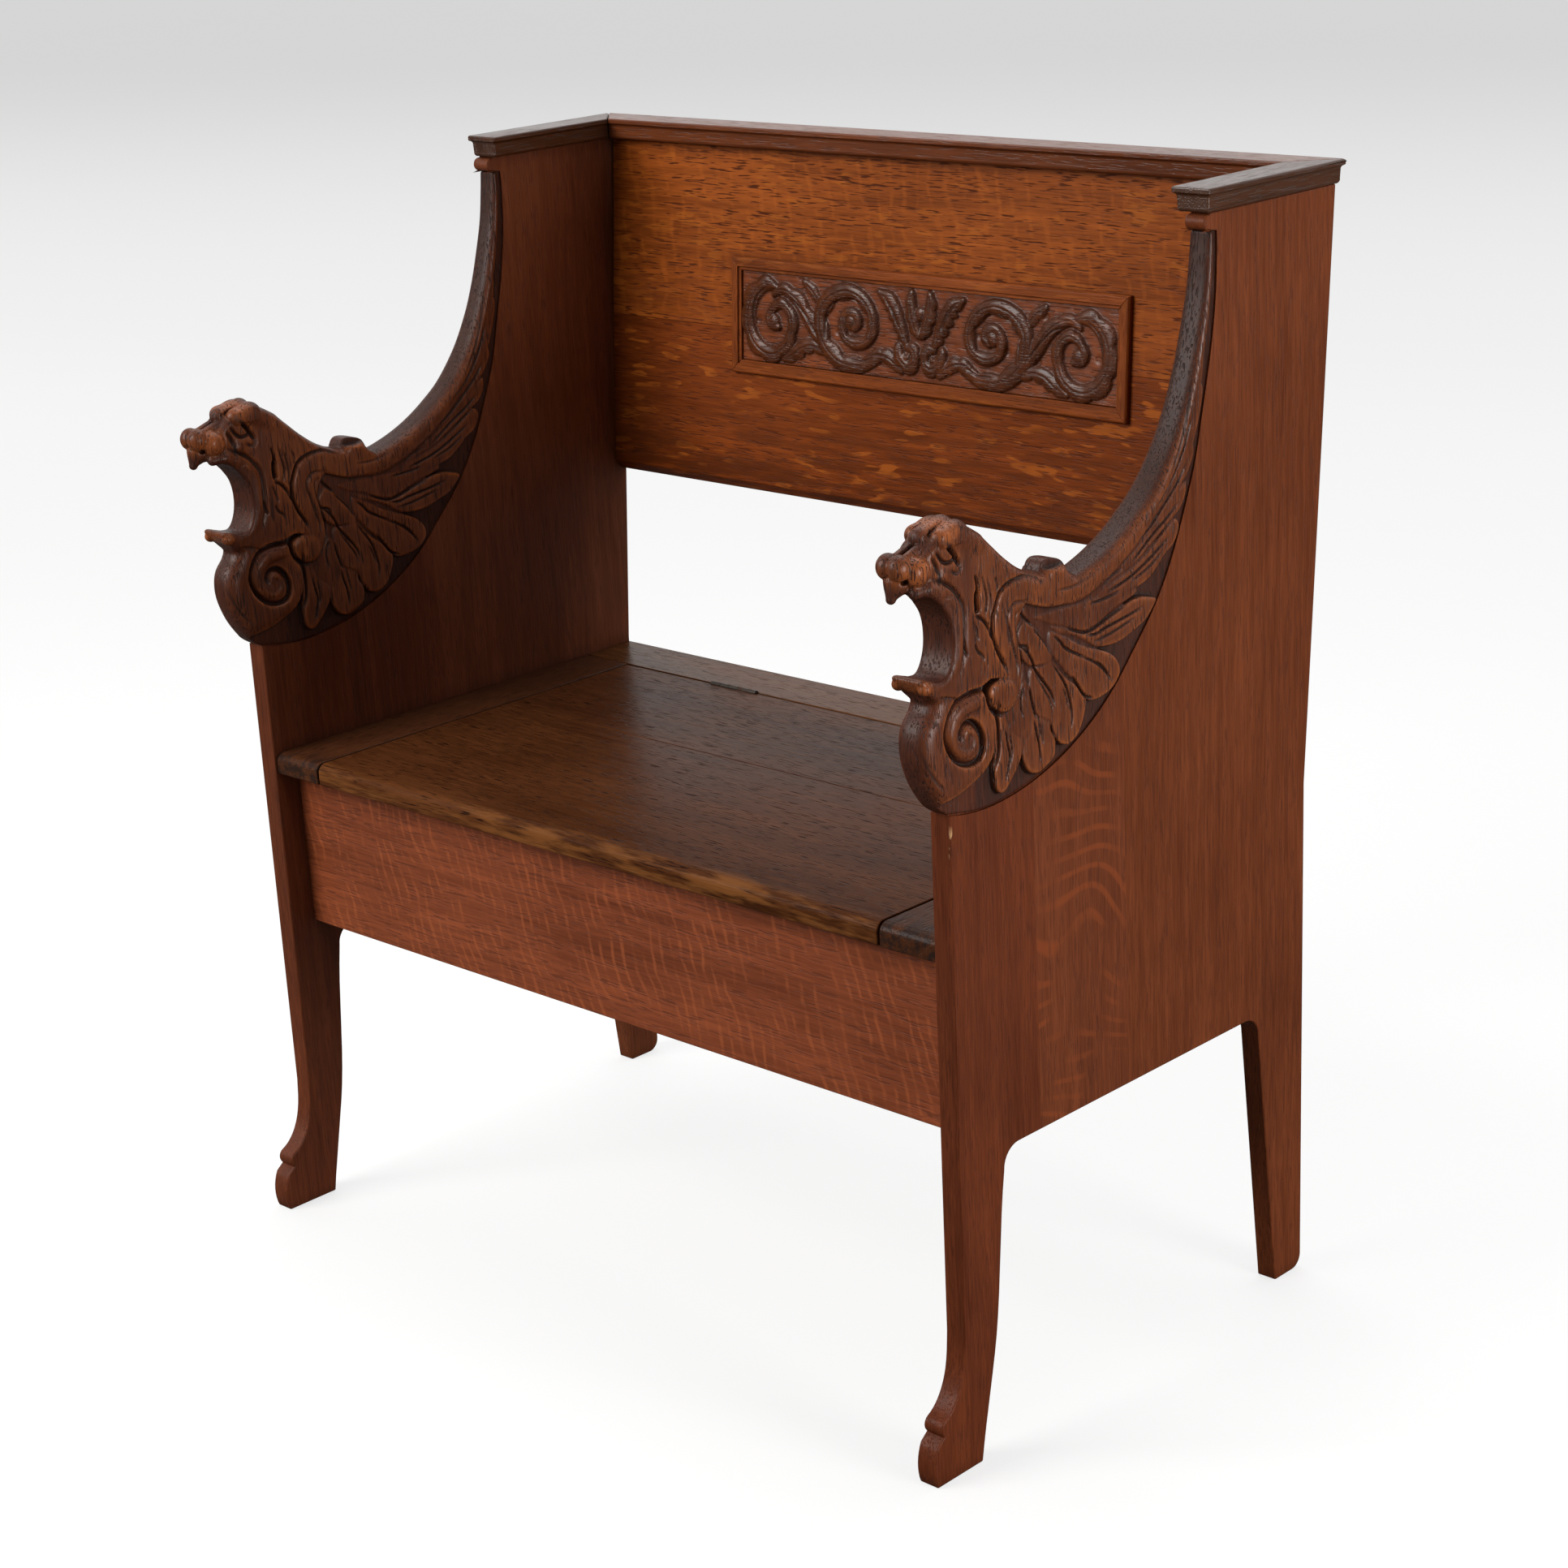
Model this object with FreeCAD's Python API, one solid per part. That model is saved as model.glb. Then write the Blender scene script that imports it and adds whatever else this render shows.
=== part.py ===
import FreeCAD, Part
import math
import os

# Hall bench in oak: two sawn sides with winged lion arms, a raked back with a carved panel, and a box seat
# whose lid lifts on two butt hinges. X runs to the right seen from the front, the front is -Y and Z is up.
# Sizes are measured back and forth from the lower rear edge of the sides; the finished pieces are moved so
# that the origin lies on the floor under the middle of the whole bench.

# Whole bench
inner_width = 843.0
side_thickness = 20.0
total_height = 1010.0
seat_height = 470.0
fitting_clearance = 0.3
overrun = 5.0

# Sides: three boards glued edge to edge
front_edge_reach = 473.4
ankle_lean = 3.8
arm_front_reach = 514.0
front_joint_reach = 373.0
rear_joint_reach = 256.0
apron_hang_height = 275.0
back_lean = 38.4
lean_start_height = 475.0

# Legs
rear_foot_depth = 40.0
rear_leg_depth = 67.0
rear_heel_radius = 13.0
rear_crotch_radius = 20.0
front_crotch_radius = 19.0
front_leg_depth = 53.0
front_heel_reach = 459.0
toe_length = 42.3
ankle_height = 125.0
toe_lower_shares = [(0.93, 0.0), (1.0, 0.12), (0.88, 0.3)]
toe_notch_share = (0.69, 0.35)
toe_upper_shares = [(0.69, 0.35), (0.76, 0.4), (0.66, 0.46)]
instep_shares = [(0.66, 0.46), (0.44, 0.51), (0.24, 0.6), (0.1, 0.72), (0.03, 0.86), (0.0, 1.0)]
calf_shares = [(0.0, 1.0), (0.2, 0.73), (0.42, 0.42), (0.67, 0.24), (1.0, 0.0)]

# Arm outline, in shares of a box from the nose back and from the carving's foot up
arm_length = 400.0
arm_height = 250.0
arm_base = 570.0
volute_front_shares = [(0.1015, 0.03), (0.082, 0.07), (0.05, 0.136), (0.027, 0.22), (0.023, 0.28),
                       (0.032, 0.332), (0.055, 0.376)]
lower_lip_shares = [(0.055, 0.376), (0.058, 0.404), (0.0475, 0.452), (0.065, 0.474)]
mouth_shares = [(0.065, 0.474), (0.085, 0.472), (0.1, 0.505), (0.109, 0.552), (0.109, 0.608), (0.099, 0.66),
                (0.08, 0.704)]
fang_shares = [(0.08, 0.704), (0.045, 0.716), (0.0275, 0.692), (0.0175, 0.75)]
muzzle_shares = [(0.0175, 0.75), (0.004, 0.78), (-0.0125, 0.81), (-0.005, 0.848), (0.03, 0.866),
                 (0.062, 0.858)]
brow_shares = [(0.062, 0.858), (0.066, 0.88), (0.08, 0.91), (0.12, 0.934), (0.165, 0.924), (0.2075, 0.888),
               (0.24, 0.844), (0.2775, 0.792), (0.32, 0.744), (0.3625, 0.712), (0.3975, 0.696)]
curl_shares = [(0.3975, 0.696), (0.403, 0.712), (0.416, 0.722), (0.441, 0.722), (0.463, 0.708),
               (0.474, 0.678), (0.495, 0.654)]
# Wing outline, in shares of a box from the arm's saddle back to the throat and up to the bead
sweep_shares = [(0.0, 0.0), (0.078, 0.012), (0.194, 0.039), (0.317, 0.078), (0.444, 0.134), (0.572, 0.204),
                (0.7, 0.315), (0.794, 0.434), (0.867, 0.558), (0.922, 0.685), (0.967, 0.809), (0.991, 0.932),
                (1.0, 1.0)]
bead_height = 12.0
bead_projection = 8.0
bead_drop = 1.5

# Sunk ground of the carving, the same on both faces of each side
ground_depth = 2.0
ground_edge_shares = [(0.1015, 0.028), (0.1925, 0.006), (0.285, 0.012), (0.405, 0.054), (0.505, 0.12),
                      (0.615, 0.236), (0.6875, 0.348), (0.7625, 0.48), (0.82, 0.628)]
ground_wing_shares = [(0.811, 0.117), (0.883, 0.253), (0.933, 0.397), (0.978, 0.529), (1.02, 0.677),
                      (1.042, 0.809)]
ground_strip_width = 8.4

# Applied carvings, one on each face of each side
carving_rise = 8.5
neck_back_shares = [(0.3975, 0.67), (0.34, 0.66), (0.275, 0.62), (0.245, 0.55), (0.255, 0.45), (0.262, 0.38),
                    (0.244, 0.31), (0.235, 0.22), (0.2, 0.13), (0.15, 0.07), (0.1015, 0.03)]
carving_edge_chamfer = 1.0
volute_eye_shares = (0.15, 0.27)
volute_groove_width = 4.5
volute_groove_depth = 5.0
volute_outer_radius = 22.0
volute_inner_radius = 7.0
volute_turns = 1.25
volute_start_angle = 60.0
volute_taper_share = 0.5
volute_step_count = 14
eye_shares = (0.082, 0.87)
eye_radius = 6.0
eye_rise = 1.6
knuckle_shares = (0.25, 0.36)
knuckle_radius = 11.0
shoulder_rise = 6.5
shoulder_shares = [(0.27, 0.4), (0.258, 0.52), (0.3, 0.63), (0.38, 0.66), (0.47, 0.62), (0.53, 0.63),
                   (0.5, 0.56), (0.4, 0.52), (0.34, 0.44), (0.31, 0.36)]
roll_radius = 9.0
roll_end_radius = 3.0
roll_rise = 6.0
roll_end_rise = 1.2
roll_inset_share = 0.75
roll_sweep_count = 8
feather_tip_rise = 1.2
feather_root_rise = 5.2
feather_cross_rise = 1.4
feather_root_width_share = 0.6
feather_widest_share = 0.62
# Each feather: root along and up, tip along and up, width, all in shares of the arm box
feather_shares = [
    (0.262, 0.36, 0.262, 0.06, 0.062),
    (0.3, 0.38, 0.36, 0.08, 0.07),
    (0.34, 0.42, 0.445, 0.136, 0.074),
    (0.39, 0.45, 0.575, 0.235, 0.082),
    (0.45, 0.47, 0.625, 0.3, 0.062),
    (0.47, 0.52, 0.66, 0.4, 0.062),
    (0.49, 0.56, 0.757, 0.49, 0.066),
    (0.52, 0.6, 0.805, 0.61, 0.06),
]
# The topmost feathers, with their places in shares of the wing box
wing_feather_shares = [
    (0.167, -0.014, 0.778, 0.099, 0.052),
    (0.367, 0.068, 0.844, 0.253, 0.042),
    (0.567, 0.191, 0.9, 0.428, 0.034),
]
covert_shares = [
    (0.3, 0.44, 0.335, 0.24, 0.058),
    (0.34, 0.48, 0.4, 0.27, 0.06),
    (0.38, 0.52, 0.47, 0.33, 0.062),
    (0.42, 0.55, 0.53, 0.4, 0.058),
    (0.46, 0.58, 0.6, 0.47, 0.05),
]
covert_lift = 1.6
# Grooves that part the cheek, mane and shoulder
mane_groove_width = 3.2
mane_groove_depth = 2.6
mane_groove_shares = [
    [(0.12, 0.9), (0.143, 0.8), (0.152, 0.7), (0.135, 0.6), (0.11, 0.5)],
    [(0.165, 0.88), (0.195, 0.76), (0.19, 0.64), (0.16, 0.54), (0.15, 0.47)],
    [(0.21, 0.83), (0.235, 0.7), (0.222, 0.6), (0.195, 0.52), (0.19, 0.43)],
    [(0.29, 0.74), (0.262, 0.69), (0.235, 0.6), (0.222, 0.52), (0.225, 0.43)],
    [(0.045, 0.815), (0.07, 0.79), (0.1, 0.8), (0.115, 0.84)],
]

# Caps on the sides and the back
cap_height = 20.0
cap_width = 38.0
cap_side_overhang = 5.0
cap_front_reach = 144.0
cap_back_overhang = 7.6
cap_lip_height = 5.0
cap_cove_depth = 3.0
cap_cove_height = 3.0
cap_body_inset = 3.4
cap_foot_inset = 5.0
cap_foot_height = 4.0
# Where the cove and the foot of the moulding bend, across and down between their ends
cap_cove_shares = (0.75, 0.35)
cap_foot_shares = (0.25, 0.65)
cap_corner_radius = 1.5
left_mitre_gap = 1.6

# Back, between the sides
back_thickness = 16.0
back_bottom_height = 655.0
back_joint_height = 814.0
back_bevel_depth = 9.0
back_bevel_height = 9.0
back_end_gap = 4.0
back_end_clearance = 0.3

# Frame and carved panel on the back
frame_outer_length = 493.0
frame_outer_height = 113.0
frame_member_width = 13.0
frame_rise = 6.0
frame_centre_height = 828.0
frame_step_width = 3.5
frame_step_depth = 2.0
panel_thickness = 2.6
scroll_rise = 3.0
scroll_band_width = 7.0
scroll_taper_share = 0.35
scroll_turns = 1.5
scroll_inner_radius = 8.0
scroll_step_count = 14
scroll_outer_radius = 28.5
scroll_eye_radius = 3.4
# Centres of the right half's scrolls, the inner one first, across and up in shares of the panel's half sizes
scroll_centre_shares = [(0.377, 0.1), (0.815, -0.07)]
# Stems that join the right half's scrolls, across and up
stem_width = 8.0
stem_width_shares = [0.3, 0.9, 1.0, 0.8, 0.3]
stem_shares = [
    [(0.5, -0.62), (0.58, -0.19), (0.64, 0.28), (0.7, 0.56), (0.763, 0.67)],
    [(0.755, -0.84), (0.7, -0.74), (0.643, -0.56), (0.583, -0.5), (0.52, -0.62)],
    [(0.1, -0.78), (0.155, -0.6), (0.215, -0.52), (0.27, -0.58), (0.32, -0.72)],
    [(0.22, 0.83), (0.17, 0.7), (0.133, 0.42), (0.1, 0.1), (0.08, -0.18)],
]
leaf_rise = 2.4
# Leaves on the carved panel: root along and up, tip along and up, width, in shares of its half sizes
leaf_shares = [
    (0.0, -0.8, 0.0, 0.85, 0.08),
    (0.02, -0.3, 0.07, 0.86, 0.05),
    (0.03, -0.5, 0.2, -0.2, 0.05),
    (0.54, 0.35, 0.6, 0.88, 0.05),
]
# Corners of a leaf, along from its root and across from its middle, and where its ridge starts and ends
leaf_corner_shares = [(0.0, 0.0), (0.3, 0.5), (0.7, 0.42), (1.0, 0.0), (0.7, -0.42), (0.3, -0.5)]
leaf_ridge_shares = (0.15, 0.85)

# Seat
seat_thickness = 21.0
nose_overhang = 24.0
nose_top_radius = 9.0
nose_bottom_radius = 2.0
strip_width = 61.5
rail_depth = 62.5
seam_gap = 2.5
lid_joint_reach = 232.0
apron_thickness = 20.0
apron_reach = 448.0
apron_bottom = 291.0
box_back_thickness = 18.0
bearer_width = 75.0
bearer_height = 18.0
rail_cleat_size = 20.0
floor_thickness = 10.0
floor_cleat_height = 12.0
floor_cleat_width = 20.0
floor_board_count = 3
floor_board_gap = 0.5
glue_block_leg = 34.0
glue_block_height = 90.0
batten_width = 40.0
batten_thickness = 18.0
batten_offset = 200.0
batten_front_gap = 8.0
batten_rear_gap = 18.0
small_edge = 1.0

# Butt hinges between the lid and the rear rail
hinge_offset = 203.0
hinge_length = 62.0
hinge_barrel_radius = 2.5
hinge_pin_radius = 1.4
hinge_pin_clearance = 0.05
hinge_leaf_thickness = 2.0
hinge_leaf_depth = 18.0
hinge_knuckle_count = 5
hinge_knuckle_gap = 0.3
hinge_mortise_clearance = 0.4
hinge_screw_pitch = 22.0
hinge_screw_count = 3
hinge_screw_drop = 11.0

# Fasteners
screw_head_radius = 3.2
screw_shank_radius = 1.6
screw_head_height = 1.8
hinge_screw_length = 16.0
batten_screw_length = 30.0
batten_screw_count = 5
batten_screw_margin = 30.0
dowel_radius = 4.0
dowel_length = 26.0
dowel_clearance = 0.1
back_dowel_margin = 40.0
back_dowel_count = 4
cap_dowel_margin = 30.0
cap_dowel_count = 3
cap_dowel_length = 24.0
box_dowel_margin = 30.0
bearer_screw_length = 34.0
bearer_screw_count = 3
bearer_screw_margin = 45.0
rail_screw_count = 4
rail_screw_margin = 60.0

half_inner = inner_width / 2
half_outer = half_inner + side_thickness
side_top = total_height - cap_height
seat_underside = seat_height - seat_thickness
hinge_axis_y = -rail_depth - seam_gap / 2


def vec(x, y, z):
    return FreeCAD.Vector(x, y, z)


def block(x0, x1, y0, y1, z0, z1):
    return Part.makeBox(x1 - x0, y1 - y0, z1 - z0, vec(x0, y0, z0))


def mirrored(shape):
    return shape.mirror(vec(0, 0, 0), vec(1, 0, 0))


def fused(shapes):
    return shapes[0].multiFuse(shapes[1:]).removeSplitter() if len(shapes) > 1 else shapes[0]


def curve(points):
    spline = Part.BSplineCurve()
    spline.interpolate([vec(0, y, z) for y, z in points])
    return spline.toShape()


def line(a, b):
    return Part.makeLine(vec(0, *a), vec(0, *b))


def arc(points):
    a, b, c = [vec(0, y, z) for y, z in points]
    return Part.Arc(a, b, c).toShape()


def rounded_corner(corner, radius, from_side, to_side):
    """Start, middle and end of a quarter circle in a corner; the sides are directions away from it."""
    near = 1 - math.cos(math.pi / 4)
    points = []
    for first, second in ((1, 0), (near, near), (0, 1)):
        points.append((corner[0] + radius * (first * from_side[0] + second * to_side[0]),
                       corner[1] + radius * (first * from_side[1] + second * to_side[1])))
    return points


def band_edges(points, widths):
    """The two edges of a band that follows the points, each point with its own width."""
    edges = []
    for side in (-1, 1):
        edge = []
        for index, (point, width) in enumerate(zip(points, widths)):
            before = points[max(index - 1, 0)]
            after = points[min(index + 1, len(points) - 1)]
            run = (after[0] - before[0], after[1] - before[1])
            reach = side * width / 2 / math.hypot(*run)
            edge.append((point[0] - run[1] * reach, point[1] + run[0] * reach))
        edges.append(edge)
    return edges


def closed_band(points, widths):
    """The outline of a band with blunt ends, in the YZ plane."""
    near, far = band_edges(points, widths)
    return [curve(far), line(far[-1], near[-1]), curve(near[::-1]), line(near[0], far[0])]


def spiral(centre, start_angle, turns, outer_radius, inner_radius, count):
    """Points of a spiral that winds inwards from its start angle in degrees."""
    points = []
    for step in range(count + 1):
        share = step / count
        angle = math.radians(start_angle) + share * turns * 2 * math.pi
        radius = outer_radius + (inner_radius - outer_radius) * share
        points.append((centre[0] + radius * math.cos(angle), centre[1] + radius * math.sin(angle)))
    return points


def plate(edges, x, thickness):
    """A flat piece cut to an outline in the YZ plane."""
    face = Part.Face(Part.Wire(edges))
    solid = face.extrude(vec(thickness, 0, 0))
    solid.translate(vec(x, 0, 0))
    return solid


def edges_where(solid, test):
    return [edge for edge in solid.Edges if test(edge.BoundBox)]


def arm_point(share):
    return (-arm_front_reach + share[0] * arm_length, arm_base + share[1] * arm_height)


def arm_points(shares):
    return [arm_point(share) for share in shares]


def wing_box():
    """The saddle's place, and the length and height from there to the top of the throat."""
    saddle = arm_point(curl_shares[-1])
    throat = -cap_front_reach + bead_projection
    return saddle, throat - saddle[0], side_top - bead_drop - bead_height - saddle[1]


def wing_points(shares):
    saddle, length, height = wing_box()
    return [(saddle[0] + along * length, saddle[1] + up * height) for along, up in shares]


def toe_point(share):
    return (-front_edge_reach - ankle_lean - share[0] * toe_length, share[1] * ankle_height)


def back_edge_y(z):
    """How far back the sides' rear edge stands at a height."""
    slope = back_lean / (side_top - lean_start_height)
    return max(0, (z - lean_start_height) * slope)


# Sides

def side_outline():
    """The outline of a whole side, from the rear heel round by the front."""
    crotch = apron_hang_height
    calf_top = (-front_edge_reach + front_leg_depth, crotch - front_crotch_radius)
    calf_drop = calf_top[1]
    calf_back = calf_top[0] + front_heel_reach
    calf = [(calf_top[0] - s * calf_back, t * calf_drop) for s, t in calf_shares]
    toe_lower = [toe_point(share) for share in toe_lower_shares]
    toe_notch = toe_point(toe_notch_share)
    toe_upper = [toe_point(share) for share in toe_upper_shares]
    instep = [toe_point(share) for share in instep_shares]
    volute = arm_points(volute_front_shares)
    bead_high = side_top - bead_drop
    sweep = wing_points(sweep_shares)
    throat = sweep[-1][0]
    heel = rounded_corner((0, 0), rear_heel_radius, (0, 1), (-1, 0))
    rear_crotch = rounded_corner((-rear_leg_depth, crotch), rear_crotch_radius, (0, -1), (-1, 0))
    front_crotch = rounded_corner((calf_top[0], crotch), front_crotch_radius, (1, 0), (0, -1))
    edges = [
        arc(heel),
        line(heel[-1], (-rear_foot_depth, 0)),
        line((-rear_foot_depth, 0), rear_crotch[0]),
        arc(rear_crotch),
        line(rear_crotch[-1], front_crotch[0]),
        arc(front_crotch),
        curve(calf),
        line(calf[-1], toe_lower[0]),
        arc(toe_lower),
        line(toe_lower[-1], toe_notch),
        arc(toe_upper),
        curve(instep),
        line(instep[-1], volute[0]),
        curve(volute),
        curve(arm_points(lower_lip_shares)),
        curve(arm_points(mouth_shares)),
        curve(arm_points(fang_shares)),
        curve(arm_points(muzzle_shares)),
        curve(arm_points(brow_shares)),
        curve(arm_points(curl_shares)),
        curve(sweep),
        arc([sweep[-1], (throat - bead_projection, bead_high - bead_height / 2), (throat, bead_high)]),
        line((throat, bead_high), (throat, side_top)),
        line((throat, side_top), (back_lean, side_top)),
        line((back_lean, side_top), (0, lean_start_height)),
        line((0, lean_start_height), heel[0]),
    ]
    return edges


def ground_cutter(x):
    """The sunk ground of one face: everything in front of the ground's curved edge."""
    front = -arm_front_reach - 2 * overrun
    throat, top = wing_points([(1, 1)])[0]
    rim = arm_points(ground_edge_shares) + wing_points(ground_wing_shares)
    rim.append((throat + ground_strip_width, top))
    edges = [
        curve(rim),
        line(rim[-1], (front, top)),
        line((front, top), (front, rim[0][1])),
        line((front, rim[0][1]), rim[0]),
    ]
    return plate(edges, x, ground_depth)


def side_boards():
    """The right side's three boards, front to rear."""
    whole = plate(side_outline(), half_inner, side_thickness)
    sunk = [ground_cutter(half_inner), ground_cutter(half_outer - ground_depth)]
    low = -overrun
    high = total_height + overrun
    spans = [(-arm_front_reach - 2 * overrun, -front_joint_reach), (-front_joint_reach, -rear_joint_reach),
             (-rear_joint_reach, back_lean + overrun)]
    boards = []
    for start, end in spans:
        slab = block(half_inner - overrun, half_outer + overrun, start, end, low, high)
        boards.append(whole.common(slab).cut(sunk))
    return boards


# Applied carvings

def feather(root, tip, width, foot, lift):
    """A pointed feather whose face slopes down to its tip and to its lower side."""
    half_width = width / 2
    length = math.hypot(tip[0] - root[0], tip[1] - root[1])
    along = ((tip[0] - root[0]) / length, (tip[1] - root[1]) / length)
    across = (-along[1], along[0])

    def place(reach, offset):
        return (root[0] + along[0] * reach + across[0] * offset,
                root[1] + along[1] * reach + across[1] * offset)

    root_offset = half_width * feather_root_width_share
    widest = length * feather_widest_share
    sides = [[place(0, side * root_offset), place(widest, side * half_width), tip] for side in (-1, 1)]
    blank = plate([curve(sides[0]), curve(sides[1]), line(sides[1][0], sides[0][0])], foot,
                  ground_depth + feather_root_rise + feather_cross_rise + covert_lift)
    fall = (feather_root_rise - feather_tip_rise) / length
    lean = feather_cross_rise / half_width
    normal = vec(1, fall * along[0] + lean * across[0], fall * along[1] + lean * across[1])
    waste = Part.makeBox(arm_length, arm_length, arm_length, vec(-arm_length / 2, -arm_length / 2, 0))
    waste.Placement = FreeCAD.Placement(vec(foot + ground_depth + feather_tip_rise + lift, *tip),
                                        FreeCAD.Rotation(vec(0, 0, 1), normal))
    return blank.cut(waste)


def feathers(places, shares, foot, lift):
    """Feathers whose ends lie in shares of the arm box or of the wing box."""
    made = []
    for root_along, root_up, tip_along, tip_up, width_share in shares:
        root, tip = places([(root_along, root_up), (tip_along, tip_up)])
        made.append(feather(root, tip, width_share * arm_length, foot, lift))
    return made


def mane_groove(shares, face_x):
    """A groove that tapers to nothing at both ends, cut from the face inwards."""
    points = arm_points(shares)
    widths = [0] + [mane_groove_width] * (len(points) - 2) + [0]
    edges = [curve(edge) for edge in band_edges(points, widths)]
    return plate(edges, face_x - mane_groove_depth, mane_groove_depth + overrun)


def volute_groove(face_x):
    """The spiral groove that rolls the scroll up, cut from the face inwards."""
    points = spiral(arm_point(volute_eye_shares), volute_start_angle, volute_turns, volute_outer_radius,
                    volute_inner_radius, volute_step_count)
    widths = [volute_groove_width * (1 - volute_taper_share * step / volute_step_count)
              for step in range(volute_step_count + 1)]
    return plate(closed_band(points, widths), face_x - volute_groove_depth, volute_groove_depth + overrun)


def top_roll(foot):
    """The rounded roll along the arm's upper edge, thinning as it climbs to the cap."""
    spine = wing_points(sweep_shares)[1:roll_sweep_count + 1]
    sections = []
    for index, point in enumerate(spine):
        share = index / (len(spine) - 1)
        radius = roll_radius + (roll_end_radius - roll_radius) * share
        rise = roll_rise + (roll_end_rise - roll_rise) * share
        before = spine[max(index - 1, 0)]
        after = spine[min(index + 1, len(spine) - 1)]
        run = math.hypot(after[0] - before[0], after[1] - before[1])
        normal = ((after[1] - before[1]) / run, -(after[0] - before[0]) / run)
        near = vec(foot, point[0], point[1])
        far = vec(foot, point[0] + normal[0] * 2 * radius, point[1] + normal[1] * 2 * radius)
        crown = vec(foot + ground_depth + rise, point[0] + normal[0] * radius * roll_inset_share,
                    point[1] + normal[1] * radius * roll_inset_share)
        sections.append(Part.Wire([Part.Arc(near, crown, far).toShape(), Part.makeLine(far, near)]))
    return Part.makeLoft(sections, True, False)


def griffin_carving():
    """The carving on the outer face of the right side."""
    foot = half_outer - ground_depth
    face = half_outer + carving_rise
    outline = [curve(arm_points(shares)) for shares in (
        volute_front_shares, lower_lip_shares, mouth_shares, fang_shares, muzzle_shares, brow_shares)]
    outline.append(curve(arm_points([brow_shares[-1]] + neck_back_shares)))
    body = plate(outline, foot, face - foot)
    body = body.makeChamfer(carving_edge_chamfer, edges_where(body, lambda box: box.XMin > face - small_edge))
    body = body.cut([volute_groove(face)] + [mane_groove(shares, face) for shares in mane_groove_shares])
    eye = arm_point(eye_shares)
    eyeball = Part.makeCylinder(eye_radius, eye_rise, vec(face, *eye), vec(1, 0, 0))
    knuckle_at = arm_point(knuckle_shares)
    knuckle = Part.makeSphere(knuckle_radius, vec(foot, *knuckle_at))
    knuckle = knuckle.common(block(foot, face, -arm_front_reach, 0, arm_base, side_top))
    shoulder_points = arm_points(shoulder_shares)
    shoulder = plate([curve(shoulder_points + shoulder_points[:1])], foot, ground_depth + shoulder_rise)
    pieces = [body, knuckle, shoulder, top_roll(foot)]
    pieces += feathers(arm_points, feather_shares, foot, 0)
    pieces += feathers(wing_points, wing_feather_shares, foot, 0)
    pieces += feathers(arm_points, covert_shares, foot, covert_lift)
    return fused(pieces)


def face_mirrored(shape):
    """The same carving on the other face of the same side."""
    middle = half_inner + side_thickness / 2
    return shape.mirror(vec(middle, 0, 0), vec(1, 0, 0))


# Caps

def cap_section(low, high, low_moulded, high_moulded):
    """Section of a cap, across and up, moulded on the edges that show."""
    top = total_height
    steps = [(0, 0), (0, -cap_lip_height), (cap_cove_depth, -cap_lip_height - cap_cove_height),
             (cap_body_inset, -cap_height + cap_foot_height), (cap_foot_inset, -cap_height)]
    left = [(low + (step if low_moulded else 0), top + drop) for step, drop in steps]
    right = [(high - (step if high_moulded else 0), top + drop) for step, drop in steps]
    return left, right


def cap_profile(low, high, place):
    left, right = cap_section(low, high, True, True)

    def bent(start, end, shares):
        middle = (start[0] + (end[0] - start[0]) * shares[0], start[1] + (end[1] - start[1]) * shares[1])
        return Part.Arc(place(*start), place(*middle), place(*end)).toShape()

    edges = []
    for points in (left, right):
        edges.append(Part.makeLine(place(*points[0]), place(*points[1])))
        edges.append(bent(points[1], points[2], cap_cove_shares))
        edges.append(Part.makeLine(place(*points[2]), place(*points[3])))
        edges.append(bent(points[3], points[4], cap_foot_shares))
    edges.append(Part.makeLine(place(*left[0]), place(*right[0])))
    edges.append(Part.makeLine(place(*left[4]), place(*right[4])))
    return Part.Face(Part.Wire(Part.__sortEdges__(edges)))


def rounded_top(solid):
    edges = edges_where(solid, lambda box: box.ZMin > total_height - small_edge)
    return solid.makeFillet(cap_corner_radius, edges)


def caps():
    """Left, right and back caps, mitred at the rear corners."""
    high = half_outer + cap_side_overhang
    low = high - cap_width
    back = back_lean + cap_back_overhang
    front = -cap_front_reach
    run = cap_profile(low, high, lambda across, up: vec(across, front, up)).extrude(vec(0, back - front, 0))
    stop = cap_profile(front, back, lambda across, up: vec(low, across, up)).extrude(vec(cap_width, 0, 0))
    side = run.common(stop)
    span = cap_profile(back - cap_width, back, lambda across, up: vec(-high, across, up)).extrude(
        vec(2 * high, 0, 0))
    ends = cap_profile(-high, high, lambda across, up: vec(across, front, up))
    span = span.common(ends.extrude(vec(0, back - front, 0)))

    def mitre_half(gap):
        """Everything in front of the mitre line at the right rear corner, stopping short by half the gap."""
        reach = cap_width + 2 * overrun
        step = gap / math.sqrt(2)
        corner = vec(high + overrun, back + overrun - step, 0)
        inner = vec(high - reach, back - reach - step, 0)
        far = vec(high - reach, front - overrun, 0)
        near = vec(high + overrun, front - overrun, 0)
        face = Part.Face(Part.makePolygon([corner, inner, far, near, corner]))
        return face.extrude(vec(0, 0, total_height + overrun))

    right_cap = rounded_top(side.common(mitre_half(0)))
    left_cap = mirrored(rounded_top(side.common(mitre_half(left_mitre_gap / 2))))
    back_cap = rounded_top(span.cut([mitre_half(0), mirrored(mitre_half(-left_mitre_gap / 2))]))
    return left_cap, right_cap, back_cap


# Back

def raked(shape):
    """Leans a piece that was drawn upright against the plane of the sides' rear edges."""
    angle = math.degrees(math.atan2(back_lean, side_top - lean_start_height))
    shape.rotate(vec(0, 0, lean_start_height), vec(1, 0, 0), -angle)
    return shape


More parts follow.
